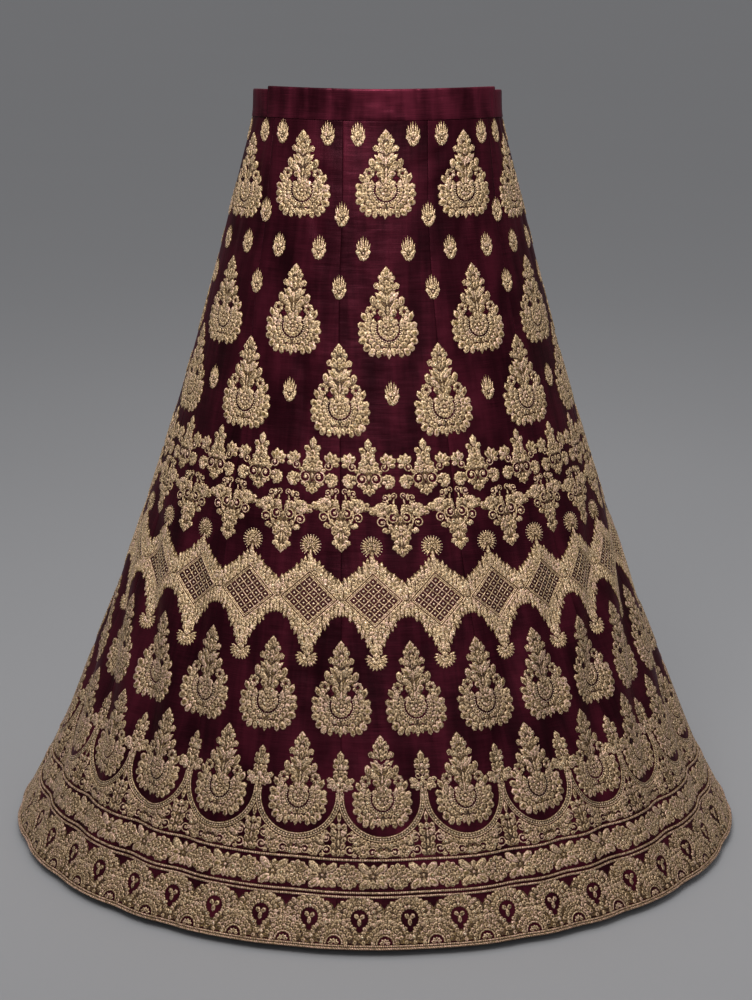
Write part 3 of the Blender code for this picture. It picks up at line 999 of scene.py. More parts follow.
# The hanging pendant of the festoon, 76 wide and 86 tall, from its lowest bud up.
PENDANT = (
    Line(((5, 60), (13, 62), (24, 62), (35, 60)), 12.0, sides=2),
    Line(((10, 42), (6, 31), (3, 22)), 13.0, sides=2),
    Line(((0, 8), (0, 22)), 12.0),
    Curl(6.0, 80.6, 3.5, 200, 0.9, 1.7),
    Curl(17.0, 77.6, 4.7, 130, 1.0, 1.9),
    Leaf(7.6, 68.0, -12, 9.4, 3.0),
    Leaf(13.4, 69.5, 24, 7.4, 3.0),
    Petal(11.0, 74.0, 4, 9.6, 5.0),
    Fan("petal", 23.0, 61.8, 2.2, 8, -10, 172, 8.0, 6.6, 2),
    Petal(29.0, 62.4, 86, 10.4, 6.6),
    Petal(31.0, 58.6, 96, 8.0, 5.6),
    Petal(20.0, 64.5, -34, 8.6, 6.0),
    Petal(15.2, 63.6, -56, 9.0, 6.2),
    Petal(10.6, 61.0, -62, 9.2, 6.4),
    Petal(7.0, 57.0, -30, 8.6, 5.8),
    Petal(13.0, 60.0, 22, 9.4, 6.4),
    Petal(16.0, 58.4, 104, 9.0, 6.4),
    Petal(4.6, 61.5, 8, 8.8, 5.6),
    Fan("petal", 19.0, 63.6, 1.4, 6, 0, 300, 5.8, 5.0, 2),
    Line(((0, 42), (0, 56)), 14.0),
    Curl(8.0, 51.8, 6.5, -30, 1.05, 2.4),
    Curl(23.0, 46.2, 6.0, -60, 1.05, 2.2),
    Line(((15.6, 56.0), (16.6, 46.0), (11.2, 38.6), (5.2, 33.0)), 3.0, CORD_RISE, 2),
    Petal(17.4, 39.6, 140, 8.4, 6.2),
    Petal(13.2, 36.2, 120, 7.6, 5.6),
    Petal(12.0, 44.8, 172, 8.0, 5.4),
    Petal(0, 44.6, 0, 11.0, 5.6, 1),
    Petal(2.2, 53.6, 24, 8.6, 5.4),
    Petal(0, 43.0, 180, 9.8, 6.0, 1),
    Petal(5.0, 43.4, 170, 9.4, 6.0),
    Petal(3.0, 35.0, 164, 8.4, 5.6),
    Petal(7.6, 34.8, 150, 7.6, 5.8),
    Petal(5.2, 28.4, 120, 9.0, 7.4),
    Petal(4.4, 23.2, 146, 7.4, 5.8),
    Bead(0, 31.0, 0, 5.0, 5.0, 1),
    Leaf(2.6, 28.6, 173, 12.5, 4.0),
    Leaf(0, 28.6, 180, 15.0, 4.4, 1),
    Petal(3.4, 15.6, 112, 10.2, 7.2),
    Petal(2.6, 12.6, 146, 8.2, 5.6),
    Loop(0, 13.4, 180, 13.4, 8.6, 1),
    Leaf(0, 11.6, 180, 9.0, 3.2, 1),
)

# The round burst that stands on each lattice diamond, from the foot of its stem up.
BURST = (
    Arc(0, 12.5, 4.6, 0, 360, 9.2),
    Leaf(0, -2.0, 0, 10.5, 4.4, 1),
    Fan("leaf", 0, 12.5, 5.6, 19, -146, 146, 7.4, 2.6),
    Fan("leaf", 0, 12.5, 1.4, 11, -130, 130, 5.6, 2.3),
    Fan("dot", 0, 12.5, 13.0, 19, -146, 146, 1.5, 1.5),
    Bead(0, 12.0, 0, 3.2, 3.2, 1),
)

# The leafy finial where two scallops meet, its bud and its scrolls, from the border cord up.
FINIAL = (
    Line(((0, 60), (0, 74), (0, 86)), 8.0),
    Line(((0, 84), (0, 94), (0, 104), (0, 116)), 13.0),
    Line(((4, 89), (10, 91)), 9.0, sides=2),
    Line(((0, 1), (0, 18), (0, 32)), 15.0),
    Loop(0, 113.0, 0, 16.5, 8.8, 1),
    Leaf(0, 114.0, 0, 12.0, 3.2, 1),
    Petal(3.0, 110.5, 24, 10.8, 6.8),
    Petal(2.4, 106.5, 50, 9.0, 6.2),
    Petal(0, 105.5, 0, 9.4, 5.6, 1),
    Petal(2.2, 100.5, 60, 7.6, 5.8),
    Petal(0, 97.5, 0, 9.4, 5.6, 1),
    Petal(3.0, 93.0, 34, 9.4, 6.4),
    Fan("petal", 4.0, 89.5, 1.5, 4, 66, 152, 9.4, 6.4, 2),
    Petal(8.0, 92.0, 82, 10.0, 7.0),
    Petal(9.0, 88.4, 120, 8.8, 6.2),
    Petal(0, 88.6, 0, 9.8, 6.2, 1),
    Petal(2.3, 83.5, 8, 8.4, 5.4),
    Bead(5.0, 88.5, 0, 4.2, 4.2),
    Petal(1.9, 76.0, 4, 8.4, 4.6),
    Petal(1.9, 68.0, 2, 8.6, 4.6),
    Loop(0, 41.0, 0, 14.0, 5.2, 1),
    Petal(2.4, 35.0, 58, 9.4, 6.6),
    Petal(1.8, 31.5, 106, 8.8, 6.2),
    Petal(0, 32.5, 0, 9.8, 5.8, 1),
    Petal(3.4, 24.5, 24, 9.2, 5.8),
    Leaf(0, 22.0, 0, 11.5, 4.6, 1),
    Petal(3.8, 17.0, 28, 9.2, 6.0),
    Leaf(0, 11.5, 0, 12.0, 4.6, 1),
    Petal(3.8, 9.4, 26, 9.2, 6.0),
    Petal(3.4, 2.0, 36, 8.8, 6.0),
    Petal(0, 1.0, 0, 9.6, 5.2, 1),
    Curl(15.4, 23.4, 6.2, -70, 1.05, 2.2),
    Curl(14.4, 9.0, 5.8, 110, 1.05, 2.2),
    Petal(9.4, 30.4, -30, 6.6, 5.0),
    Petal(21.4, 13.4, 152, 7.4, 5.6),
    Petal(22.2, 22.0, 118, 8.0, 6.0),
    Petal(17.6, 17.0, 96, 7.0, 5.2),
)

# A scallop round one teardrop flower, and the frieze under it, from the border cord up.
BOWL = (0, 71.5)
BOWL_RADIUS = 49.4
SCALLOP = (
    Arc(*BOWL, BOWL_RADIUS, 84, 276, 6.6),
    Arc(*BOWL, BOWL_RADIUS - 2.6, 82, 278, 1.9, CORD_RISE),
    Arc(*BOWL, BOWL_RADIUS + 2.6, 84, 276, 1.9, CORD_RISE),
    Fan("dot", *BOWL, BOWL_RADIUS, 49, 85, 275, 2.6, 2.6),
    Line(((36.0, 18.0), (22.0, 12.0), (10.0, 10.0), (0, 10.0)), 18.0, sides=2),
    Fan("petal", *BOWL, BOWL_RADIUS + 3.6, 19, 138, 222, 6.8, 5.4),
    Fan("petal", 0, 0.5, 0, 5, -62, 62, 9.6, 5.4),
    Hole(0, 10.8, 0, 4.0, 2.6, 1),
    Curl(13.6, 7.0, 5.4, -60, 1.05, 2.1),
    Petal(7.2, 10.0, 8, 6.6, 5.0),
    Petal(7.0, 1.2, 22, 7.8, 5.4),
    Fan("petal", 24.4, 7.6, 1.8, 7, 0, 300, 7.0, 6.0, 2),
    Bead(24.4, 7.6, 0, 3.8, 3.8),
    Petal(19.0, 12.6, 24, 6.6, 5.2),
    Petal(29.0, 15.0, 56, 8.0, 5.8),
    Petal(33.0, 20.0, 46, 8.0, 5.8),
    Petal(31.0, 9.5, 80, 7.2, 5.4),
    Petal(31.5, 2.6, 94, 7.0, 5.2),
    Petal(19.2, 1.0, 6, 6.4, 4.8),
)

# One repeat of the floral border: a rosette, and half a pitch on a spray of leaves.
FLOWER_PITCH = 63.0
HALF_FLOWER = FLOWER_PITCH / 2
FLOWER_MIDDLE = 16.5
FLOWER_BORDER = (
    Arc(0, FLOWER_MIDDLE, 6.6, 0, 360, 13.2),
    Line(tuple((HALF_FLOWER + side, FLOWER_MIDDLE) for side in (-17, 0, 17)), 25.0),
    Fan("petal", 0, FLOWER_MIDDLE, 8.6, 13, 0, 332, 7.8, 6.8),
    Fan("petal", 0, FLOWER_MIDDLE, 3.8, 9, 10, 330, 6.4, 5.2),
    Fan("petal", 0, FLOWER_MIDDLE, 0.6, 4, 0, 270, 4.6, 3.8),
    Petal(HALF_FLOWER, 22.5, 0, 9.4, 6.0, 1),
    Petal(HALF_FLOWER - 1.8, 19.5, -36, 8.0, 5.0, 1),
    Petal(HALF_FLOWER + 1.8, 19.5, 36, 8.0, 5.0, 1),
    Bead(HALF_FLOWER, 17.0, 0, 4.6, 4.6, 1),
    Petal(HALF_FLOWER, 14.0, 180, 13.0, 6.8, 1),
)

# The leaves of the spray: turn, where each starts off the middle, length and width.
# The long ones have a vein.
VEINED_FROM = 15
VEIN_START = 2.5
VEIN_SHARE = 0.66
VEIN_WIDTH = 3.6
SprayLeaf = namedtuple("SprayLeaf", "turn start length width")
LEAF_SPRAY = (
    SprayLeaf(48, 4.4, 19.5, 9.6),
    SprayLeaf(131, 4.4, 18.5, 9.4),
    SprayLeaf(90, 4.0, 12.0, 8.4),
    SprayLeaf(76, 13.0, 7.0, 5.6),
    SprayLeaf(104, 13.0, 7.0, 5.6),
    SprayLeaf(157, 6.0, 10.0, 5.4),
)

# One repeat of the hem: a lotus fan over a keyhole, and half a pitch on a half lotus.
LOTUS_PITCH = 62.6
HALF_LOTUS = LOTUS_PITCH / 2
KEYHOLE = (0, 30.5)
LOTUS = (
    Arc(*KEYHOLE, 18.8, -114, 114, 16.0),
    Line(((15.0, 23.0), (16.5, 15.0), (17.0, 8.0), (17.0, 2.0)), 24.0, sides=2),
    Line(((27.0, 28.0), (28.0, 14.0)), 8.0, sides=2),
    Line(((0, 1), (0, 15)), 14.0),
    Line(((22, 46), (27, 38), (28, 24)), 8.0, sides=2),
    Fan("petal", *KEYHOLE, 20.0, 9, -48, 48, 7.2, 5.8),
    Fan("petal", 4.0, 30.5, 19.6, 5, 44, 100, 7.6, 5.8, 2),
    Fan("petal", *KEYHOLE, 15.4, 15, -112, 112, 6.4, 5.4),
    Fan("petal", *KEYHOLE, 10.2, 15, -132, 132, 6.0, 4.8),
    Petal(19.5, 27.0, 84, 7.0, 5.4),
    Petal(20.5, 33.5, 66, 7.0, 5.4),
    Petal(0.6, 30.4, 46, 7.6, 5.6),
    Petal(0, 31.8, 180, 9.6, 5.2, 1),
    Petal(3.6, 20.4, 112, 7.6, 5.2),
    Petal(2.6, 16.4, 128, 7.2, 5.0),
    Petal(1.8, 12.8, 152, 7.0, 5.0),
    Petal(0, 13.4, 180, 8.4, 5.0, 1),
    Petal(4.4, 6.4, 164, 6.4, 5.0),
)
HALF_LOTUS_MARKS = (
    Arc(HALF_LOTUS, 1.6, 10.4, -92, 92, 2.3, CORD_RISE),
    Hole(HALF_LOTUS, 3.2, 0, 15.0, 17.4, 1),
    Fan("loop", HALF_LOTUS, 1.4, 0.4, 5, -72, 72, 7.0, 4.2),
    Fan("petal", HALF_LOTUS, 1.6, 11.4, 11, -86, 86, 6.6, 5.2),
    Fan("petal", HALF_LOTUS, 1.6, 17.0, 11, -70, 70, 6.8, 5.4),
    Fan("petal", HALF_LOTUS, 1.6, 23.0, 7, -36, 36, 6.6, 5.4),
)

# The lattice diamonds: half the pitch between two, and their outline, in millimetres.
DIAMOND_HALF_PITCH = 39.0
DIAMOND_TOP = 57.0
NOTCH_TOP = 21.0
NOTCH_FOOT = -19.0
FOOT_REACH = 63.7
FOOT_CURVE = 1.68
FOOT_END = -64.0
DIAMOND_OVERLAP = 1.045
LATTICE_REACH = 34.6
LATTICE_INSETS = (0.4, 3.8, 6.0)
LATTICE_CELLS = 5

# The leafy edge is rows of petals: a slim fringe at its outline, then broader fingers.
FINGER_PITCH = 4.3
FINGER_ROW = 5.0
FINGER_LENGTH = 8.0
FINGER_WIDTH = 4.6
FINGER_LEAN = 14
FINGER_RAGGED = (-2.4, 2.2)
FINGER_CLEAR = 0.4
LEAST_FINGER = 2.6
FRINGE_LENGTH = 11.5
FRINGE_WIDTH = 3.5

# The round bud that hangs from a diamond's foot.
DIAMOND_BUD = (
    Petal(3.4, -58.0, 168, 8.6, 5.0),
    Petal(0, -56.0, 180, 8.6, 5.0, 1),
    Petal(0, -62.5, 180, 8.6, 5.0, 1),
    Arc(0, -72.5, 3.5, 0, 360, 7.0),
    Fan("loop", 0, -72.0, 4.4, 13, 64, 296, 9.2, 3.1),
    Fan("petal", 0, -72.0, 0.8, 6, 80, 280, 5.2, 3.8),
    Fan("petal", 0, -70.5, 0.4, 3, -34, 34, 6.2, 4.0),
)


def diamond_top(x):
    """The upper outline of a diamond's leafy edge."""
    return DIAMOND_TOP - (DIAMOND_TOP - NOTCH_TOP) * abs(x) / DIAMOND_HALF_PITCH


def diamond_foot(x):
    """The lower outline of a diamond's leafy edge."""
    return max(NOTCH_FOOT - FOOT_REACH * (1 - abs(x) / DIAMOND_HALF_PITCH) ** FOOT_CURVE, FOOT_END)


def work_diamond(seed):
    """A lattice diamond with its leafy edge and the bud that hangs from it."""
    work = Stitchwork(seed)
    reach = DIAMOND_HALF_PITCH
    above = ((reach, 10), (reach * 0.7, 20), (reach * 0.35, 31), (0, 43))
    below = ((reach, -6), (reach * 0.7, -14), (reach * 0.4, -25), (4, -46))
    beside = ((reach - 5, 0), (reach + 3, 0))
    for hand in (1, -1):
        for path, width in ((above, 15.0), (below, 14.0), (beside, 24.0)):
            work.ground([(hand * x, y) for x, y in path], width)
    work.ground([(0, -40), (0, -54), (0, -68)], 8.0)
    columns = round(2 * reach / FINGER_PITCH)
    for column in range(columns):
        x = (column + 0.5 - columns / 2) * 2 * reach / columns
        inner = max(LATTICE_REACH - abs(x), 0)
        for outline, way in ((diamond_top(x), 1), (-diamond_foot(x), -1)):
            tip = outline + work.hand.uniform(*FINGER_RAGGED)
            size, width = FRINGE_LENGTH, FRINGE_WIDTH
            while tip > inner + LEAST_FINGER:
                lean = math.copysign(FINGER_LEAN, x) + work.hand.uniform(-FINGER_LEAN, FINGER_LEAN)
                length = min(size, tip - inner - FINGER_CLEAR)
                turn = lean if way > 0 else 180 - lean
                side = math.sin(math.radians(lean)) * length
                work.petal(x - side, way * (tip - length), turn, length, width)
                tip -= FINGER_ROW
                size, width = FINGER_LENGTH, FINGER_WIDTH
    work_lattice(work)
    return work.draw(DIAMOND_BUD)


def work_lattice(work):
    """A double frame of cord, a grid inside it and a knot in each cell."""
    outer, second, inset = (LATTICE_REACH - gap for gap in LATTICE_INSETS)
    work.patch(LATTICE_REACH, steps=8, lift=0.30, relief=BARE_RELIEF)
    for reach in (outer, second):
        corners = [(0, reach), (reach, 0), (0, -reach), (-reach, 0), (0, reach)]
        for start, end in zip(corners, corners[1:]):
            work.strand(np.linspace(start, end, 8), width=1.9, rise=1.5)
    for line in range(LATTICE_CELLS + 1):
        at = inset * (2 * line / LATTICE_CELLS - 1)
        for way in (1, -1):
            start = (way * (at - inset) / 2, (at + inset) / 2)
            end = (way * (at + inset) / 2, (at - inset) / 2)
            work.strand(np.linspace(start, end, 7), width=1.8, rise=1.1)
    for row in range(LATTICE_CELLS):
        for column in range(LATTICE_CELLS):
            across = inset * ((2 * row + 1) / LATTICE_CELLS - 1)
            along = inset * ((2 * column + 1) / LATTICE_CELLS - 1)
            x, y = (across - along) / 2, (across + along) / 2
            work.seed(x, y, lift=0.35, width=2.8, spark=0.25)


def work_flower_border(seed):
    """Rosettes, with a spray of veined leaves between each two."""
    work = Stitchwork(seed).draw(FLOWER_BORDER)
    for leaf in LEAF_SPRAY:
        angle = math.radians(leaf.turn)
        for hand in (1, -1):
            x = HALF_FLOWER + hand * leaf.start * math.sin(angle)
            y = FLOWER_MIDDLE + leaf.start * math.cos(angle)
            work.petal(x, y, hand * leaf.turn, leaf.length, leaf.width)
            if leaf.length > VEINED_FROM:
                x += hand * VEIN_START * math.sin(angle)
                y += VEIN_START * math.cos(angle)
                work.leaf(x, y, hand * leaf.turn, leaf.length * VEIN_SHARE, VEIN_WIDTH)
    return work


# ---------------------------------------------------------------- cloth

SHELL_WALL = 0.0010
CLOTH_COLUMNS = 27
TUCKED_UP = 0.004
SEAM_MARGINS = (0.0008, 0.0024)
SEAM_DEPTH = 0.0003
SEAM_BREADTH = 0.0009
HEM_TURNED = 0.9525
HEM_TUCK = 0.0004

# The rows of a panel's points are closer down to here, where the gathers are.
FINE_TO = 0.15
FINE_DROPS = np.linspace(-TUCKED_UP, FINE_TO, 24)
CLOTH_DROPS = np.r_[FINE_DROPS, np.linspace(FINE_TO, HEM_TURNED, 54)[1:], SKIRT_DROP]


def make_panel(number, material):
    """One tapered silk panel, its edges turned in at the seams."""
    drop = CLOTH_DROPS[:, None]
    seams = [np.full_like(drop, (number + side) / PANELS) for side in (-0.5, 0.5)]
    runs = [run_of(seam, drop) for seam in seams]
    starts = [seams[0] + margin / runs[0] for margin in SEAM_MARGINS]
    ends = [seams[1] - margin / runs[1] for margin in reversed(SEAM_MARGINS)]
    inner = starts[-1] + (ends[0] - starts[-1]) * np.linspace(0, 1, CLOTH_COLUMNS + 1)[None, 1:-1]
    share = np.concatenate([seams[0], *starts, inner, *ends, seams[1]], axis=1)
    drops = np.broadcast_to(drop, share.shape)
    from_seam = np.minimum(share - seams[0], seams[1] - share) * runs[0]
    seam = np.exp(-((from_seam / SEAM_BREADTH) ** 2))
    hem = np.where(drops > HEM_TURNED, -HEM_TUCK, 0.0)
    outer = on_cloth(share, drops, hem - SEAM_DEPTH * seam)
    back = on_cloth(share, drops, hem - SHELL_WALL - SEAM_DEPTH * seam)
    points, faces = wall_mesh(outer, back)
    across = (share - number / PANELS) * runs[0] + number
    cloth = np.stack([across, drops, np.zeros_like(share)], axis=-1).reshape(-1, 3)
    name = f"kali_{number + 1:02d}"
    values = {"cloth": np.tile(cloth, (2, 1)), "seam": np.tile(seam.ravel(), 2)}
    piece = link_piece(f"silk_{name}", points, faces, material, values, (name,))


# The waistband's profile: a level, 0 at its top and 1 at the seam, and a share of its wall.
Ledge = namedtuple("Ledge", "level wall")
BAND_PROFILE = (
    Ledge(1.010, 0.55),
    Ledge(1.012, 0.10),
    Ledge(0.990, 0.00),
    Ledge(0.860, 0.00),
    Ledge(0.700, 0.00),
    Ledge(0.520, 0.00),
    Ledge(0.340, 0.00),
    Ledge(0.180, 0.00),
    Ledge(0.070, 0.00),
    Ledge(0.015, 0.12),
    Ledge(0.000, 0.50),
    Ledge(0.015, 0.88),
    Ledge(0.070, 1.00),
    Ledge(0.520, 1.00),
    Ledge(0.960, 1.00),
    Ledge(1.010, 0.80),
)

# Pinches in the waistband: heading and lean in degrees, level, length, half-breadth and depth in metres.
Pinch = namedtuple("Pinch", "heading level lean length breadth depth")
PINCHES = (
    Pinch(-21, 0.12, 4, 0.016, 0.0022, 0.0021),
    Pinch(-33, 0.16, -8, 0.014, 0.0022, 0.0016),
    Pinch(18, 0.13, 10, 0.015, 0.0022, 0.0020),
    Pinch(29, 0.15, 24, 0.017, 0.0022, 0.0018),
    Pinch(2, 0.45, 68, 0.032, 0.0030, 0.0016),
    Pinch(8, 0.62, 60, 0.036, 0.0030, 0.0018),
    Pinch(-2, 0.30, -62, 0.028, 0.0028, 0.0012),
    Pinch(-48, 0.50, 12, 0.030, 0.0024, 0.0009),
    Pinch(52, 0.50, -12, 0.032, 0.0024, 0.0009),
    Pinch(64, 0.40, 6, 0.026, 0.0022, 0.0009),
    Pinch(84, 0.45, -14, 0.030, 0.0024, 0.0009),
    Pinch(101, 0.55, 10, 0.028, 0.0024, 0.0008),
    Pinch(122, 0.42, -8, 0.030, 0.0026, 0.0010),
    Pinch(143, 0.50, 14, 0.026, 0.0022, 0.0008),
    Pinch(160, 0.38, -6, 0.028, 0.0026, 0.0010),
    Pinch(181, 0.52, 8, 0.030, 0.0024, 0.0009),
    Pinch(199, 0.44, -10, 0.028, 0.0024, 0.0009),
    Pinch(218, 0.50, 12, 0.026, 0.0022, 0.0008),
    Pinch(238, 0.40, -8, 0.030, 0.0026, 0.0010),
    Pinch(259, 0.52, 6, 0.028, 0.0024, 0.0009),
    Pinch(277, 0.45, -12, 0.030, 0.0024, 0.0009),
    Pinch(291, 0.50, 8, 0.026, 0.0022, 0.0008),
)

# The band's sheet: its mean radius, its wall as a share of the solid's, how close it comes
# to the seam, and how dark its joins and its fold are.
BAND_RADIUS = 0.137
BAND_SHEET = 0.92
BAND_FOOT = -0.0001
JOIN_SHADE = 0.9
FOLD_SHADE = 0.8


def pinched_in(heading, level):
    """How far the waistband's pinches push it in."""
    depth = np.zeros(np.broadcast(heading, level).shape)
    for pinch in PINCHES:
        across = turned_away(heading, pinch.heading) * BAND_RADIUS
        depth += dent(pinch, across, (level - pinch.level) * BAND_HEIGHT)
    return depth


def make_waistband(name, start, end, columns, lower, material):
    """One piece of the waistband, folded over at its top and turned in at both ends."""
    heading = np.radians(np.linspace(start, end, columns + 1))[None, :]
    level = np.array([ledge.level for ledge in BAND_PROFILE])[:, None]
    wall = np.array([ledge.wall for ledge in BAND_PROFILE])[:, None]
    drop = np.broadcast_to(-BAND_HEIGHT * (1 - level), (len(BAND_PROFILE), columns + 1))
    headings = np.broadcast_to(heading, drop.shape)
    lift = BAND_PROUD - BAND_WALL * wall * BAND_SHEET - pinched_in(headings, level)
    half_width, half_depth = half_sizes(np.minimum(drop, BAND_FOOT))
    sine, cosine, flat = np.sin(headings), np.cos(headings), np.zeros_like(drop)
    out = np.stack([sine / half_width, -cosine / half_depth, flat], axis=-1)
    out /= np.linalg.norm(out, axis=-1, keepdims=True)
    base = np.stack([half_width * sine, -half_depth * cosine], axis=-1)
    dip = BACK_DIP * ((1 - cosine) / 2) ** DIP_SHARPNESS
    height = -BAND_HEIGHT / 2 - drop - dip - lower * (1 - level)
    points = np.concatenate([base, height[..., None]], axis=-1) + out * lift[..., None]
    rows = len(BAND_PROFILE)
    across = np.arange(columns)
    last = (rows - 1) * (columns + 1)
    closing = np.stack([across, across + 1, last + across + 1, last + across], axis=-1)[:, ::-1]
    faces = np.concatenate([grid_faces(rows, columns + 1, turned=True), closing]).tolist()
    for column, turned in ((0, 1), (columns, -1)):
        faces.append([row * (columns + 1) + column for row in range(rows)][::turned])
    cloth = np.stack([headings * BAND_RADIUS, drop, flat], axis=-1).reshape(-1, 3)
    seam = np.broadcast_to(np.where(level > 1.0, FOLD_SHADE, 0.0), drop.shape).copy()
    seam[:, [0, -1]] += JOIN_SHADE
    values = {"cloth": cloth, "seam": np.minimum(seam, 1.0).ravel()}
    piece = link_piece(f"silk_{name}", points.reshape(-1, 3), faces, material, values, (name,))


# Couched cords and piping: rows of knots, by drop, pitch, width and height in metres,
# and a twist that leans the knots.
Row = namedtuple("Row", "drop pitch width height twist")
CORDS = {
    "border_cord": (Row(0.8555, 0.0027, 0.0034, 0.0019, 0.0),),
    "twin_cord_upper": (Row(0.8912, 0.0024, 0.0032, 0.0019, 0.0),),
    "twin_cord_lower": (Row(0.8958, 0.0024, 0.0032, 0.0019, 0.0),),
    "hem_piping": (Row(0.9486, 0.0024, 0.0028, 0.0020, 0.0), Row(0.9514, 0.0028, 0.0034, 0.0028, 0.5)),
}

# A cord's knots: how full it is between two, the corners of its cross-section, the
# least width, how far it stands off the cloth and the least reliefs.
KNOT_WAIST = 0.55
CORD_SIDES = np.array([-0.5, -0.30, 0.30, 0.5])[None, :]
CORD_RISES = np.array([0.0, 1.0, 1.0, 0.0])[None, :]
CORD_LEAST = 0.35
CORD_LIFT = 0.00015
CORD_FOOT_RELIEF = 0.15
CORD_LEAST_RELIEF = 0.25
CORNERS = CORD_SIDES.size
RUN_STEPS = 720


def make_cord(name, rows, material, seed):
    """One sewn-on cord: knots threaded close together, all round the skirt."""
    points, faces, relief, shade = [], [], [], []
    start = 0
    rng = np.random.default_rng(seed)
    for row in rows:
        middle = np.linspace(0, 1, RUN_STEPS + 1)[:-1]
        length = run_of(middle, np.full_like(middle, row.drop)).mean()
        knots = round(length / row.pitch)
        rings = 2 * knots
        ring = np.arange(rings)[:, None]
        full = np.where(ring % 2, 1.0, KNOT_WAIST)
        share = (ring + row.twist * 4 * CORD_SIDES) / rings
        drop = row.drop + CORD_SIDES * row.width * (CORD_LEAST + (1 - CORD_LEAST) * full)
        lift = CORD_LIFT + CORD_RISES * row.height * full
        points.append(on_cloth(share, np.minimum(drop, SKIRT_DROP), lift).reshape(-1, 3))
        index, after = ring * CORNERS, (ring + 1) % rings * CORNERS
        corner = np.arange(CORNERS)[None, :]
        beside = (corner + 1) % CORNERS
        quads = np.stack([index + corner, index + beside, after + beside, after + corner], axis=-1)
        faces.append(quads.reshape(-1, 4)[:, ::-1] + start)
        start += rings * CORNERS
        crest = CORD_LEAST_RELIEF + (1 - CORD_LEAST_RELIEF) * full**2
        relief.append(np.where(CORD_RISES > 0, crest, CORD_FOOT_RELIEF).ravel())
        shade.append(np.repeat(rng.random(knots), 2 * CORNERS))
    values = {"relief": np.concatenate(relief), "shade": np.concatenate(shade), "spark": np.zeros(start)}
    points, faces = np.concatenate(points), np.concatenate(faces)
    link_piece(f"gold_{name}", points, faces, material, values, (name,))


# ---------------------------------------------------------------- add-on


def colour(name, description, default):
    """A colour that a user can change."""
    return bpy.props.FloatVectorProperty(name=name, description=description, subtype="COLOR", default=default)


def measure(name, description, default, subtype="NONE"):
    """A measure that a user can change."""
    return bpy.props.FloatProperty(name=name, description=description, subtype=subtype, default=default)


class SkirtColours(bpy.types.PropertyGroup):
    """The colours that a user would change."""

    # Each silk's darker and lighter streaks are partly its own tone and partly painted sheen.
    silk_dark: colour("Silk shade", "Silk in its darker streaks", (0.0140, 0.0016, 0.0034))
    silk_light: colour("Silk light", "Silk in its lighter streaks", (0.0520, 0.0056, 0.0120))
    band_dark: colour("Band shade", "Waistband silk in its darker streaks", (0.0240, 0.0030, 0.0062))
    band_light: colour("Band light", "Waistband silk in its lighter streaks", (0.1020, 0.0122, 0.0250))
    # Gold hollow is the ground between the threads darkened by painted shade; gold light and rose are painted
    # highlights on the crests over the thread's own tones.
    gold_shadow: colour("Gold hollow", "Ground between the threads", (0.050, 0.020, 0.012))
    gold_middle: colour("Gold middle", "Thread in half light", (0.275, 0.165, 0.078))
    gold_olive: colour("Gold olive", "Aged thread in half light", (0.262, 0.176, 0.064))
    gold_light: colour("Gold light", "Thread on its crests", (0.800, 0.580, 0.356))
    gold_rosy: colour("Gold rose", "Rosy thread on its crests", (0.740, 0.480, 0.385))


class SkirtStage(bpy.types.PropertyGroup):
    """The floor, the lights and the camera."""

    floor_colour: colour("Floor", "Colour of the floor", (0.300, 0.298, 0.305))
    floor_gap: measure("Hem clearance", "Height of the hem off the floor", 0.010, "DISTANCE")
    camera_distance: measure("Camera distance", "From the waist's axis", 3.0, "DISTANCE")
    camera_height: measure("Camera height", "Above the hem", 1.332, "DISTANCE")
    camera_tilt: measure("Camera tilt", "Below level", math.radians(16.64), "ANGLE")
    camera_roll: measure("Camera roll", "Turn about its own axis", math.radians(0.2), "ANGLE")
    focal_pixels: measure("Focal length", "In pixels of the picture's height", 2355.0)


IMAGE_HEIGHT = 1000
SENSOR_WIDTH = 36.0
FLOOR_REACH = 30.0
HEM_LEVEL = -BAND_HEIGHT / 2 - SKIRT_DROP
SKIRT_MIDDLE = (0.0, 0.0, -0.5)

# Soft square lamps: where each stands, what it faces, its size in metres, its energy in
# watts and the spread of its beam in degrees.
Lamp = namedtuple("Lamp", "name location aim size energy spread")
LAMPS = (
    Lamp("key lamp", (-0.3, -1.7, 1.7), (0.0, 0.0, 0.06), 1.3, 15, 80),
    Lamp("fill lamp", (1.3, -2.5, 1.3), (0.0, 0.0, -0.15), 2.2, 4, 110),
    Lamp("top lamp", (0.0, 0.3, 3.0), SKIRT_MIDDLE, 2.6, 4.5, 120),
    Lamp("back lamp", (0.4, 3.2, 1.6), SKIRT_MIDDLE, 2.4, 3, 110),
)
WORLD_COLOUR = (0.80, 0.81, 0.83)
WORLD_STRENGTHS = (0.16, 0.82)

# How much painted shade darkens the gold on the lower motifs and on the cords, where less light falls, and
# the gold made so far.
LOWER_SHADE = 0.22
CORD_PALE = 0.25
CORD_SHADE = 0.15
GOLD_MADE = {}


def shared_gold(pale=0.0, tarnish=0.0):
    """The gold thread material, made once for each paleness and amount of painted shade."""
    if (pale, tarnish) not in GOLD_MADE:
        label = "pale gold cord" if pale else "antique gold thread" if tarnish else "couched gold thread"
        GOLD_MADE[pale, tarnish] = gold_material(label, bpy.context.scene.skirt_colours, pale, tarnish)
    return GOLD_MADE[pale, tarnish]


class SKIRT_OT_panels(bpy.types.Operator):
    """Make the twelve silk panels"""

    bl_idname = "skirt.panels"
    bl_label = "Silk panels"

    def execute(self, context):
        colours = context.scene.skirt_colours
        material = silk_material("maroon silk taffeta", colours.silk_dark, colours.silk_light)
        for number in range(PANELS):
            make_panel(number, material)
        return {"FINISHED"}


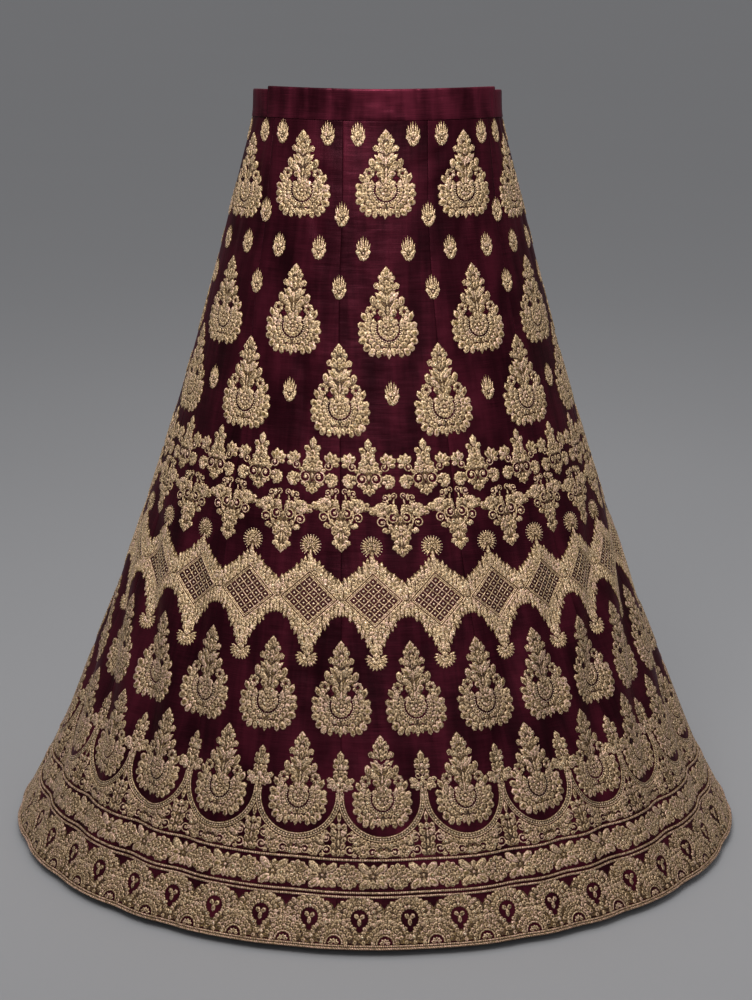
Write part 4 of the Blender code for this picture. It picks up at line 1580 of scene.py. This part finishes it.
class SKIRT_OT_waistband(bpy.types.Operator):
    """Make the two pieces of the waistband"""

    bl_idname = "skirt.waistband"
    bl_label = "Waistband"

    def execute(self, context):
        colours = context.scene.skirt_colours
        material = silk_material("maroon band silk", colours.band_dark, colours.band_light)
        for name, start, end, columns, lower in (
            ("waistband_front", BAND_FRONT_FROM, BAND_FRONT_TO, 150, 0.0),
            ("waistband_back", BAND_FRONT_TO, BAND_FRONT_FROM + 360, 230, BACK_BAND_STEP),
        ):
            make_waistband(name, start, end, columns, lower, material)
        return {"FINISHED"}


class SKIRT_OT_cords(bpy.types.Operator):
    """Make the couched cords and the hem piping"""

    bl_idname = "skirt.cords"
    bl_label = "Cords and piping"

    def execute(self, context):
        for seed, (name, rows) in enumerate(CORDS.items()):
            make_cord(name, rows, shared_gold(CORD_PALE, CORD_SHADE), seed)
        return {"FINISHED"}


# Rows of sprigs: the drop of their feet and their offsets in panels.
SPRIG_NATURAL = 21
SPRIG_ROOM = 0.24
SprigRow = namedtuple("SprigRow", "drop offsets")
SPRIG_ROWS = (
    SprigRow(0.031, (-0.32, 0.32)),
    SprigRow(0.126, (0.5,)),
    SprigRow(0.166, (-0.25, 0.25)),
    SprigRow(0.212, (0.5,)),
    SprigRow(0.336, (0.0,)),
)


class SKIRT_OT_sprigs(bpy.types.Operator):
    """Scatter the small sprigs over the upper skirt"""

    bl_idname = "skirt.sprigs"
    bl_label = "Small sprigs"

    def execute(self, context):
        places = []
        for row in SPRIG_ROWS:
            for share in spots(*row.offsets):
                wide = SPRIG_WIDE * fitted(SPRIG_NATURAL, share, row.drop, SPRIG_ROOM)
                places.append(Place(share, row.drop, wide, SPRIG_TALL))
        lay_motifs("zari_sprigs", [(Stitchwork(11).draw(SPRIG), places)], shared_gold(), seed=1)
        return {"FINISHED"}


# Rows of teardrop flowers: the drop of their feet at the front, how much lower they sit
# at the sides, their offsets in panels, scales, room and painted shade. A flower is fitted to
# the panel's width a little above its foot.
FlowerRow = namedtuple("FlowerRow", "name drop sag offsets wide tall room tarnish")
FLOWER_NATURAL = 77
FITTED_ABOVE = 0.035
FULL_SAG_HEADING = 60
FLOWER_ROWS = (
    FlowerRow("zari_flowers_upper", 0.116, 0.010, (0.0,), 1.0, 1.0, 0.84, 0.0),
    FlowerRow("zari_flowers_upper", 0.281, 0.0, (0.0,), 1.0, 1.04, 0.84, 0.0),
    FlowerRow("zari_flowers_upper", 0.375, 0.0, (0.5,), 1.0, 1.07, 0.84, 0.0),
    FlowerRow("zari_flowers_arches", 0.719, 0.0, (0.0, 0.5), 1.0, 1.08, 0.45, LOWER_SHADE),
    FlowerRow("zari_flowers_scallops", 0.822, 0.0, (-0.25, 0.25), 0.98, 1.06, 0.43, LOWER_SHADE),
)


class SKIRT_OT_flowers(bpy.types.Operator):
    """Lay the teardrop flowers in their five rows"""

    bl_idname = "skirt.flowers"
    bl_label = "Teardrop flowers"

    def execute(self, context):
        work = Stitchwork(12).draw(BUTA)
        for name, tarnish in sorted({(row.name, row.tarnish) for row in FLOWER_ROWS}):
            places = []
            for row in (row for row in FLOWER_ROWS if row.name == name):
                for share in spots(*row.offsets):
                    turned = (1 - math.cos(TAU * share)) / (1 - math.cos(math.radians(FULL_SAG_HEADING)))
                    drop = row.drop + row.sag * min(turned, 1.0)
                    wide = row.wide * fitted(FLOWER_NATURAL, share, drop - FITTED_ABOVE, row.room)
                    places.append(Place(share, drop, wide, row.tall))
            lay_motifs(name, [(work, places)], shared_gold(tarnish=tarnish), seed=2)
        return {"FINISHED"}


# Rows of the festoon: the drop of their feet, their offsets in panels, their natural
# width, the drop and the room they are fitted to, and their scales.
FestoonRow = namedtuple("FestoonRow", "drop offsets natural fitted_at room wide tall")
CRESTS = FestoonRow(0.4470, (-0.25, 0.25), 68, 0.405, 0.49, 1.0, 1.0)
FULL_PENDANTS = FestoonRow(0.5135, (0.0,), 77, 0.46, 0.52, 1.0, 0.95)
SLIM_PENDANTS = FestoonRow(0.5085, (0.5,), 77, 0.46, 0.52, 0.94, 0.94)
BURST_DROP = 0.5128


def places_in(row):
    """The places of a row of the festoon."""
    places = []
    for share in spots(*row.offsets):
        wide = row.wide * fitted(row.natural, share, row.fitted_at, row.room)
        places.append(Place(share, row.drop, wide, row.tall))
    return places


class SKIRT_OT_festoon(bpy.types.Operator):
    """Lay the festoon of crests and pendants"""

    bl_idname = "skirt.festoon"
    bl_label = "Crests and pendants"

    def execute(self, context):
        bursts = [Place(share, BURST_DROP, 1.0, 1.0) for share in spots(-0.25, 0.25)]
        jobs = [
            (Stitchwork(13).draw(CREST), places_in(CRESTS)),
            (Stitchwork(14).draw(PENDANT), places_in(FULL_PENDANTS) + places_in(SLIM_PENDANTS)),
            (Stitchwork(15).draw(BURST), bursts),
        ]
        lay_motifs("zari_festoon", jobs, shared_gold(), seed=3)
        return {"FINISHED"}


# Where the lattice and the scallops stand, and half a scallop's natural pitch.
LATTICE_DROP = 0.5625
SCALLOP_DROP = 0.8530
SCALLOP_FITTED_AT = 0.80
SCALLOP_HALF_PITCH = 51.6


def quarter_fill(share, drop, half_pitch):
    """A width scale at which half a pitch fills a quarter of a panel."""
    return float(run_of(share, drop)) / PANELS / 4 / (half_pitch * MM)


class SKIRT_OT_lattice(bpy.types.Operator):
    """Lay the band of lattice diamonds"""

    bl_idname = "skirt.lattice"
    bl_label = "Lattice diamonds"

    def execute(self, context):
        places = []
        for share in spots(-0.25, 0.25):
            wide = quarter_fill(share, LATTICE_DROP, DIAMOND_HALF_PITCH)
            places.append(Place(share, LATTICE_DROP, wide * DIAMOND_OVERLAP, 1.0))
        lay_motifs("zari_lattice_band", [(work_diamond(16), places)], shared_gold(), seed=4)
        return {"FINISHED"}


class SKIRT_OT_scallops(bpy.types.Operator):
    """Lay the scallops, their finials and the frieze under them"""

    bl_idname = "skirt.scallops"
    bl_label = "Scallops and finials"

    def execute(self, context):
        bowls = []
        for share in spots(-0.25, 0.25):
            wide = quarter_fill(share, SCALLOP_FITTED_AT, SCALLOP_HALF_PITCH)
            bowls.append(Place(share, SCALLOP_DROP, wide, 1.0))
        finials = [Place(share, SCALLOP_DROP, 1.0, 1.0) for share in spots(0.0, 0.5)]
        jobs = [(Stitchwork(17).draw(SCALLOP), bowls), (Stitchwork(18).draw(FINIAL), finials)]
        lay_motifs("zari_scallops", jobs, shared_gold(tarnish=LOWER_SHADE), seed=5)
        return {"FINISHED"}


def around(pitch, drop, phase):
    """Places for a repeat that runs evenly round the skirt, whatever the panels."""
    steps = np.linspace(0, 1, 2 * RUN_STEPS + 1)
    runs = run_of(steps, np.full_like(steps, drop))
    walked = np.r_[0, np.cumsum((runs[1:] + runs[:-1]) / 2 * np.diff(steps))]
    count = round(walked[-1] / (pitch * MM))
    wanted = (np.arange(count) + phase) / count * walked[-1]
    scale = walked[-1] / count / (pitch * MM)
    return [Place(float(np.interp(at, walked, steps)), drop, scale, 1.0) for at in wanted]


class SKIRT_OT_borders(bpy.types.Operator):
    """Lay the floral border and the lotus hem"""

    bl_idname = "skirt.borders"
    bl_label = "Borders"

    def execute(self, context):
        gold = shared_gold(tarnish=LOWER_SHADE)
        flowers = [(work_flower_border(19), around(FLOWER_PITCH, drop=0.8885, phase=0.35))]
        lay_motifs("zari_flower_border", flowers, gold, seed=6)
        lotus = Stitchwork(20).draw(LOTUS).draw(HALF_LOTUS_MARKS)
        lay_motifs("zari_lotus_hem", [(lotus, around(LOTUS_PITCH, drop=0.9478, phase=0.5))], gold, seed=7)
        return {"FINISHED"}


def add_light(row):
    """One soft square lamp that faces a point."""
    lamp = bpy.data.lights.new(row.name, "AREA")
    lamp.shape = "SQUARE"
    lamp.size = row.size
    lamp.energy = row.energy
    lamp.spread = math.radians(row.spread)
    holder = bpy.data.objects.new(row.name, lamp)
    bpy.context.scene.collection.objects.link(holder)
    holder.location = row.location
    direction = Vector(row.aim) - Vector(row.location)
    holder.rotation_euler = direction.to_track_quat("-Z", "Y").to_euler()


class SKIRT_OT_stage(bpy.types.Operator):
    """Make the floor, the lights and the camera"""

    bl_idname = "skirt.stage"
    bl_label = "Stage"

    def execute(self, context):
        stage = context.scene.skirt_stage
        self.make_floor(stage)
        for lamp in LAMPS:
            add_light(lamp)
        context.scene.world = self.make_world()
        context.scene.view_settings.view_transform = "Standard"
        self.make_camera(context.scene, stage)
        return {"FINISHED"}

    def make_world(self):
        """Soft light, brighter overhead than at eye level."""
        world = bpy.data.worlds.new("studio")
        world.use_nodes = True
        nodes, links = world.node_tree.nodes, world.node_tree.links
        height = nodes.new("ShaderNodeSeparateXYZ")
        ramp = nodes.new("ShaderNodeMapRange")
        ramp.inputs["To Min"].default_value, ramp.inputs["To Max"].default_value = WORLD_STRENGTHS
        links.new(nodes.new("ShaderNodeTexCoord").outputs["Generated"], height.inputs[0])
        links.new(height.outputs["Z"], ramp.inputs["Value"])
        links.new(ramp.outputs[0], nodes["Background"].inputs["Strength"])
        nodes["Background"].inputs["Color"].default_value = opaque(WORLD_COLOUR)
        return world

    def make_floor(self, stage):
        """A wide level floor, a little below the hem."""
        level = HEM_LEVEL - stage.floor_gap
        corners = [(x * FLOOR_REACH, y * FLOOR_REACH, level) for x, y in ((-1, -1), (1, -1), (1, 1), (-1, 1))]
        mesh = bpy.data.meshes.new("studio_floor")
        mesh.from_pydata(corners, [], [(0, 1, 2, 3)])
        mesh.materials.append(floor_material(stage))
        floor = bpy.data.objects.new("studio_floor", mesh)
        bpy.context.scene.collection.objects.link(floor)

    def make_camera(self, scene, stage):
        """A camera in front of the skirt and above its waist, tilted down."""
        lens = bpy.data.cameras.new("camera")
        lens.sensor_width = SENSOR_WIDTH
        lens.lens = stage.focal_pixels / IMAGE_HEIGHT * SENSOR_WIDTH
        camera = bpy.data.objects.new("camera", lens)
        camera.location = (0.0, -stage.camera_distance, HEM_LEVEL + stage.camera_height)
        camera.rotation_mode = "XYZ"
        level = Matrix.Rotation(math.radians(90) - stage.camera_tilt, 4, "X")
        camera.rotation_euler = (level @ Matrix.Rotation(stage.camera_roll, 4, "Z")).to_euler()
        scene.collection.objects.link(camera)
        scene.camera = camera


OPERATORS = (
    SKIRT_OT_stage,
    SKIRT_OT_waistband,
    SKIRT_OT_panels,
    SKIRT_OT_cords,
    SKIRT_OT_sprigs,
    SKIRT_OT_flowers,
    SKIRT_OT_festoon,
    SKIRT_OT_lattice,
    SKIRT_OT_scallops,
    SKIRT_OT_borders,
)


class SKIRT_PT_sidebar(bpy.types.Panel):
    """Lists what the skirt is made of"""

    bl_idname = "SKIRT_PT_sidebar"
    bl_label = "Embroidered skirt"
    bl_space_type = "VIEW_3D"
    bl_region_type = "UI"
    bl_category = "Skirt"

    def draw(self, context):
        for operator in OPERATORS:
            self.layout.operator(operator.bl_idname)
        for group in (context.scene.skirt_colours, context.scene.skirt_stage):
            for name in group.bl_rna.properties.keys():
                if name not in ("name", "rna_type"):
                    self.layout.prop(group, name)


CLASSES = (SkirtColours, SkirtStage, *OPERATORS, SKIRT_PT_sidebar)


def register():
    for cls in CLASSES:
        bpy.utils.register_class(cls)
    bpy.types.Scene.skirt_colours = bpy.props.PointerProperty(type=SkirtColours)
    bpy.types.Scene.skirt_stage = bpy.props.PointerProperty(type=SkirtStage)


def unregister():
    del bpy.types.Scene.skirt_stage
    del bpy.types.Scene.skirt_colours
    for cls in reversed(CLASSES):
        bpy.utils.unregister_class(cls)


def main():
    register()
    for operator in OPERATORS:
        group, name = operator.bl_idname.split(".")
        getattr(getattr(bpy.ops, group), name)()
    bpy.context.view_layer.update()


if __name__ == "__main__":
    main()
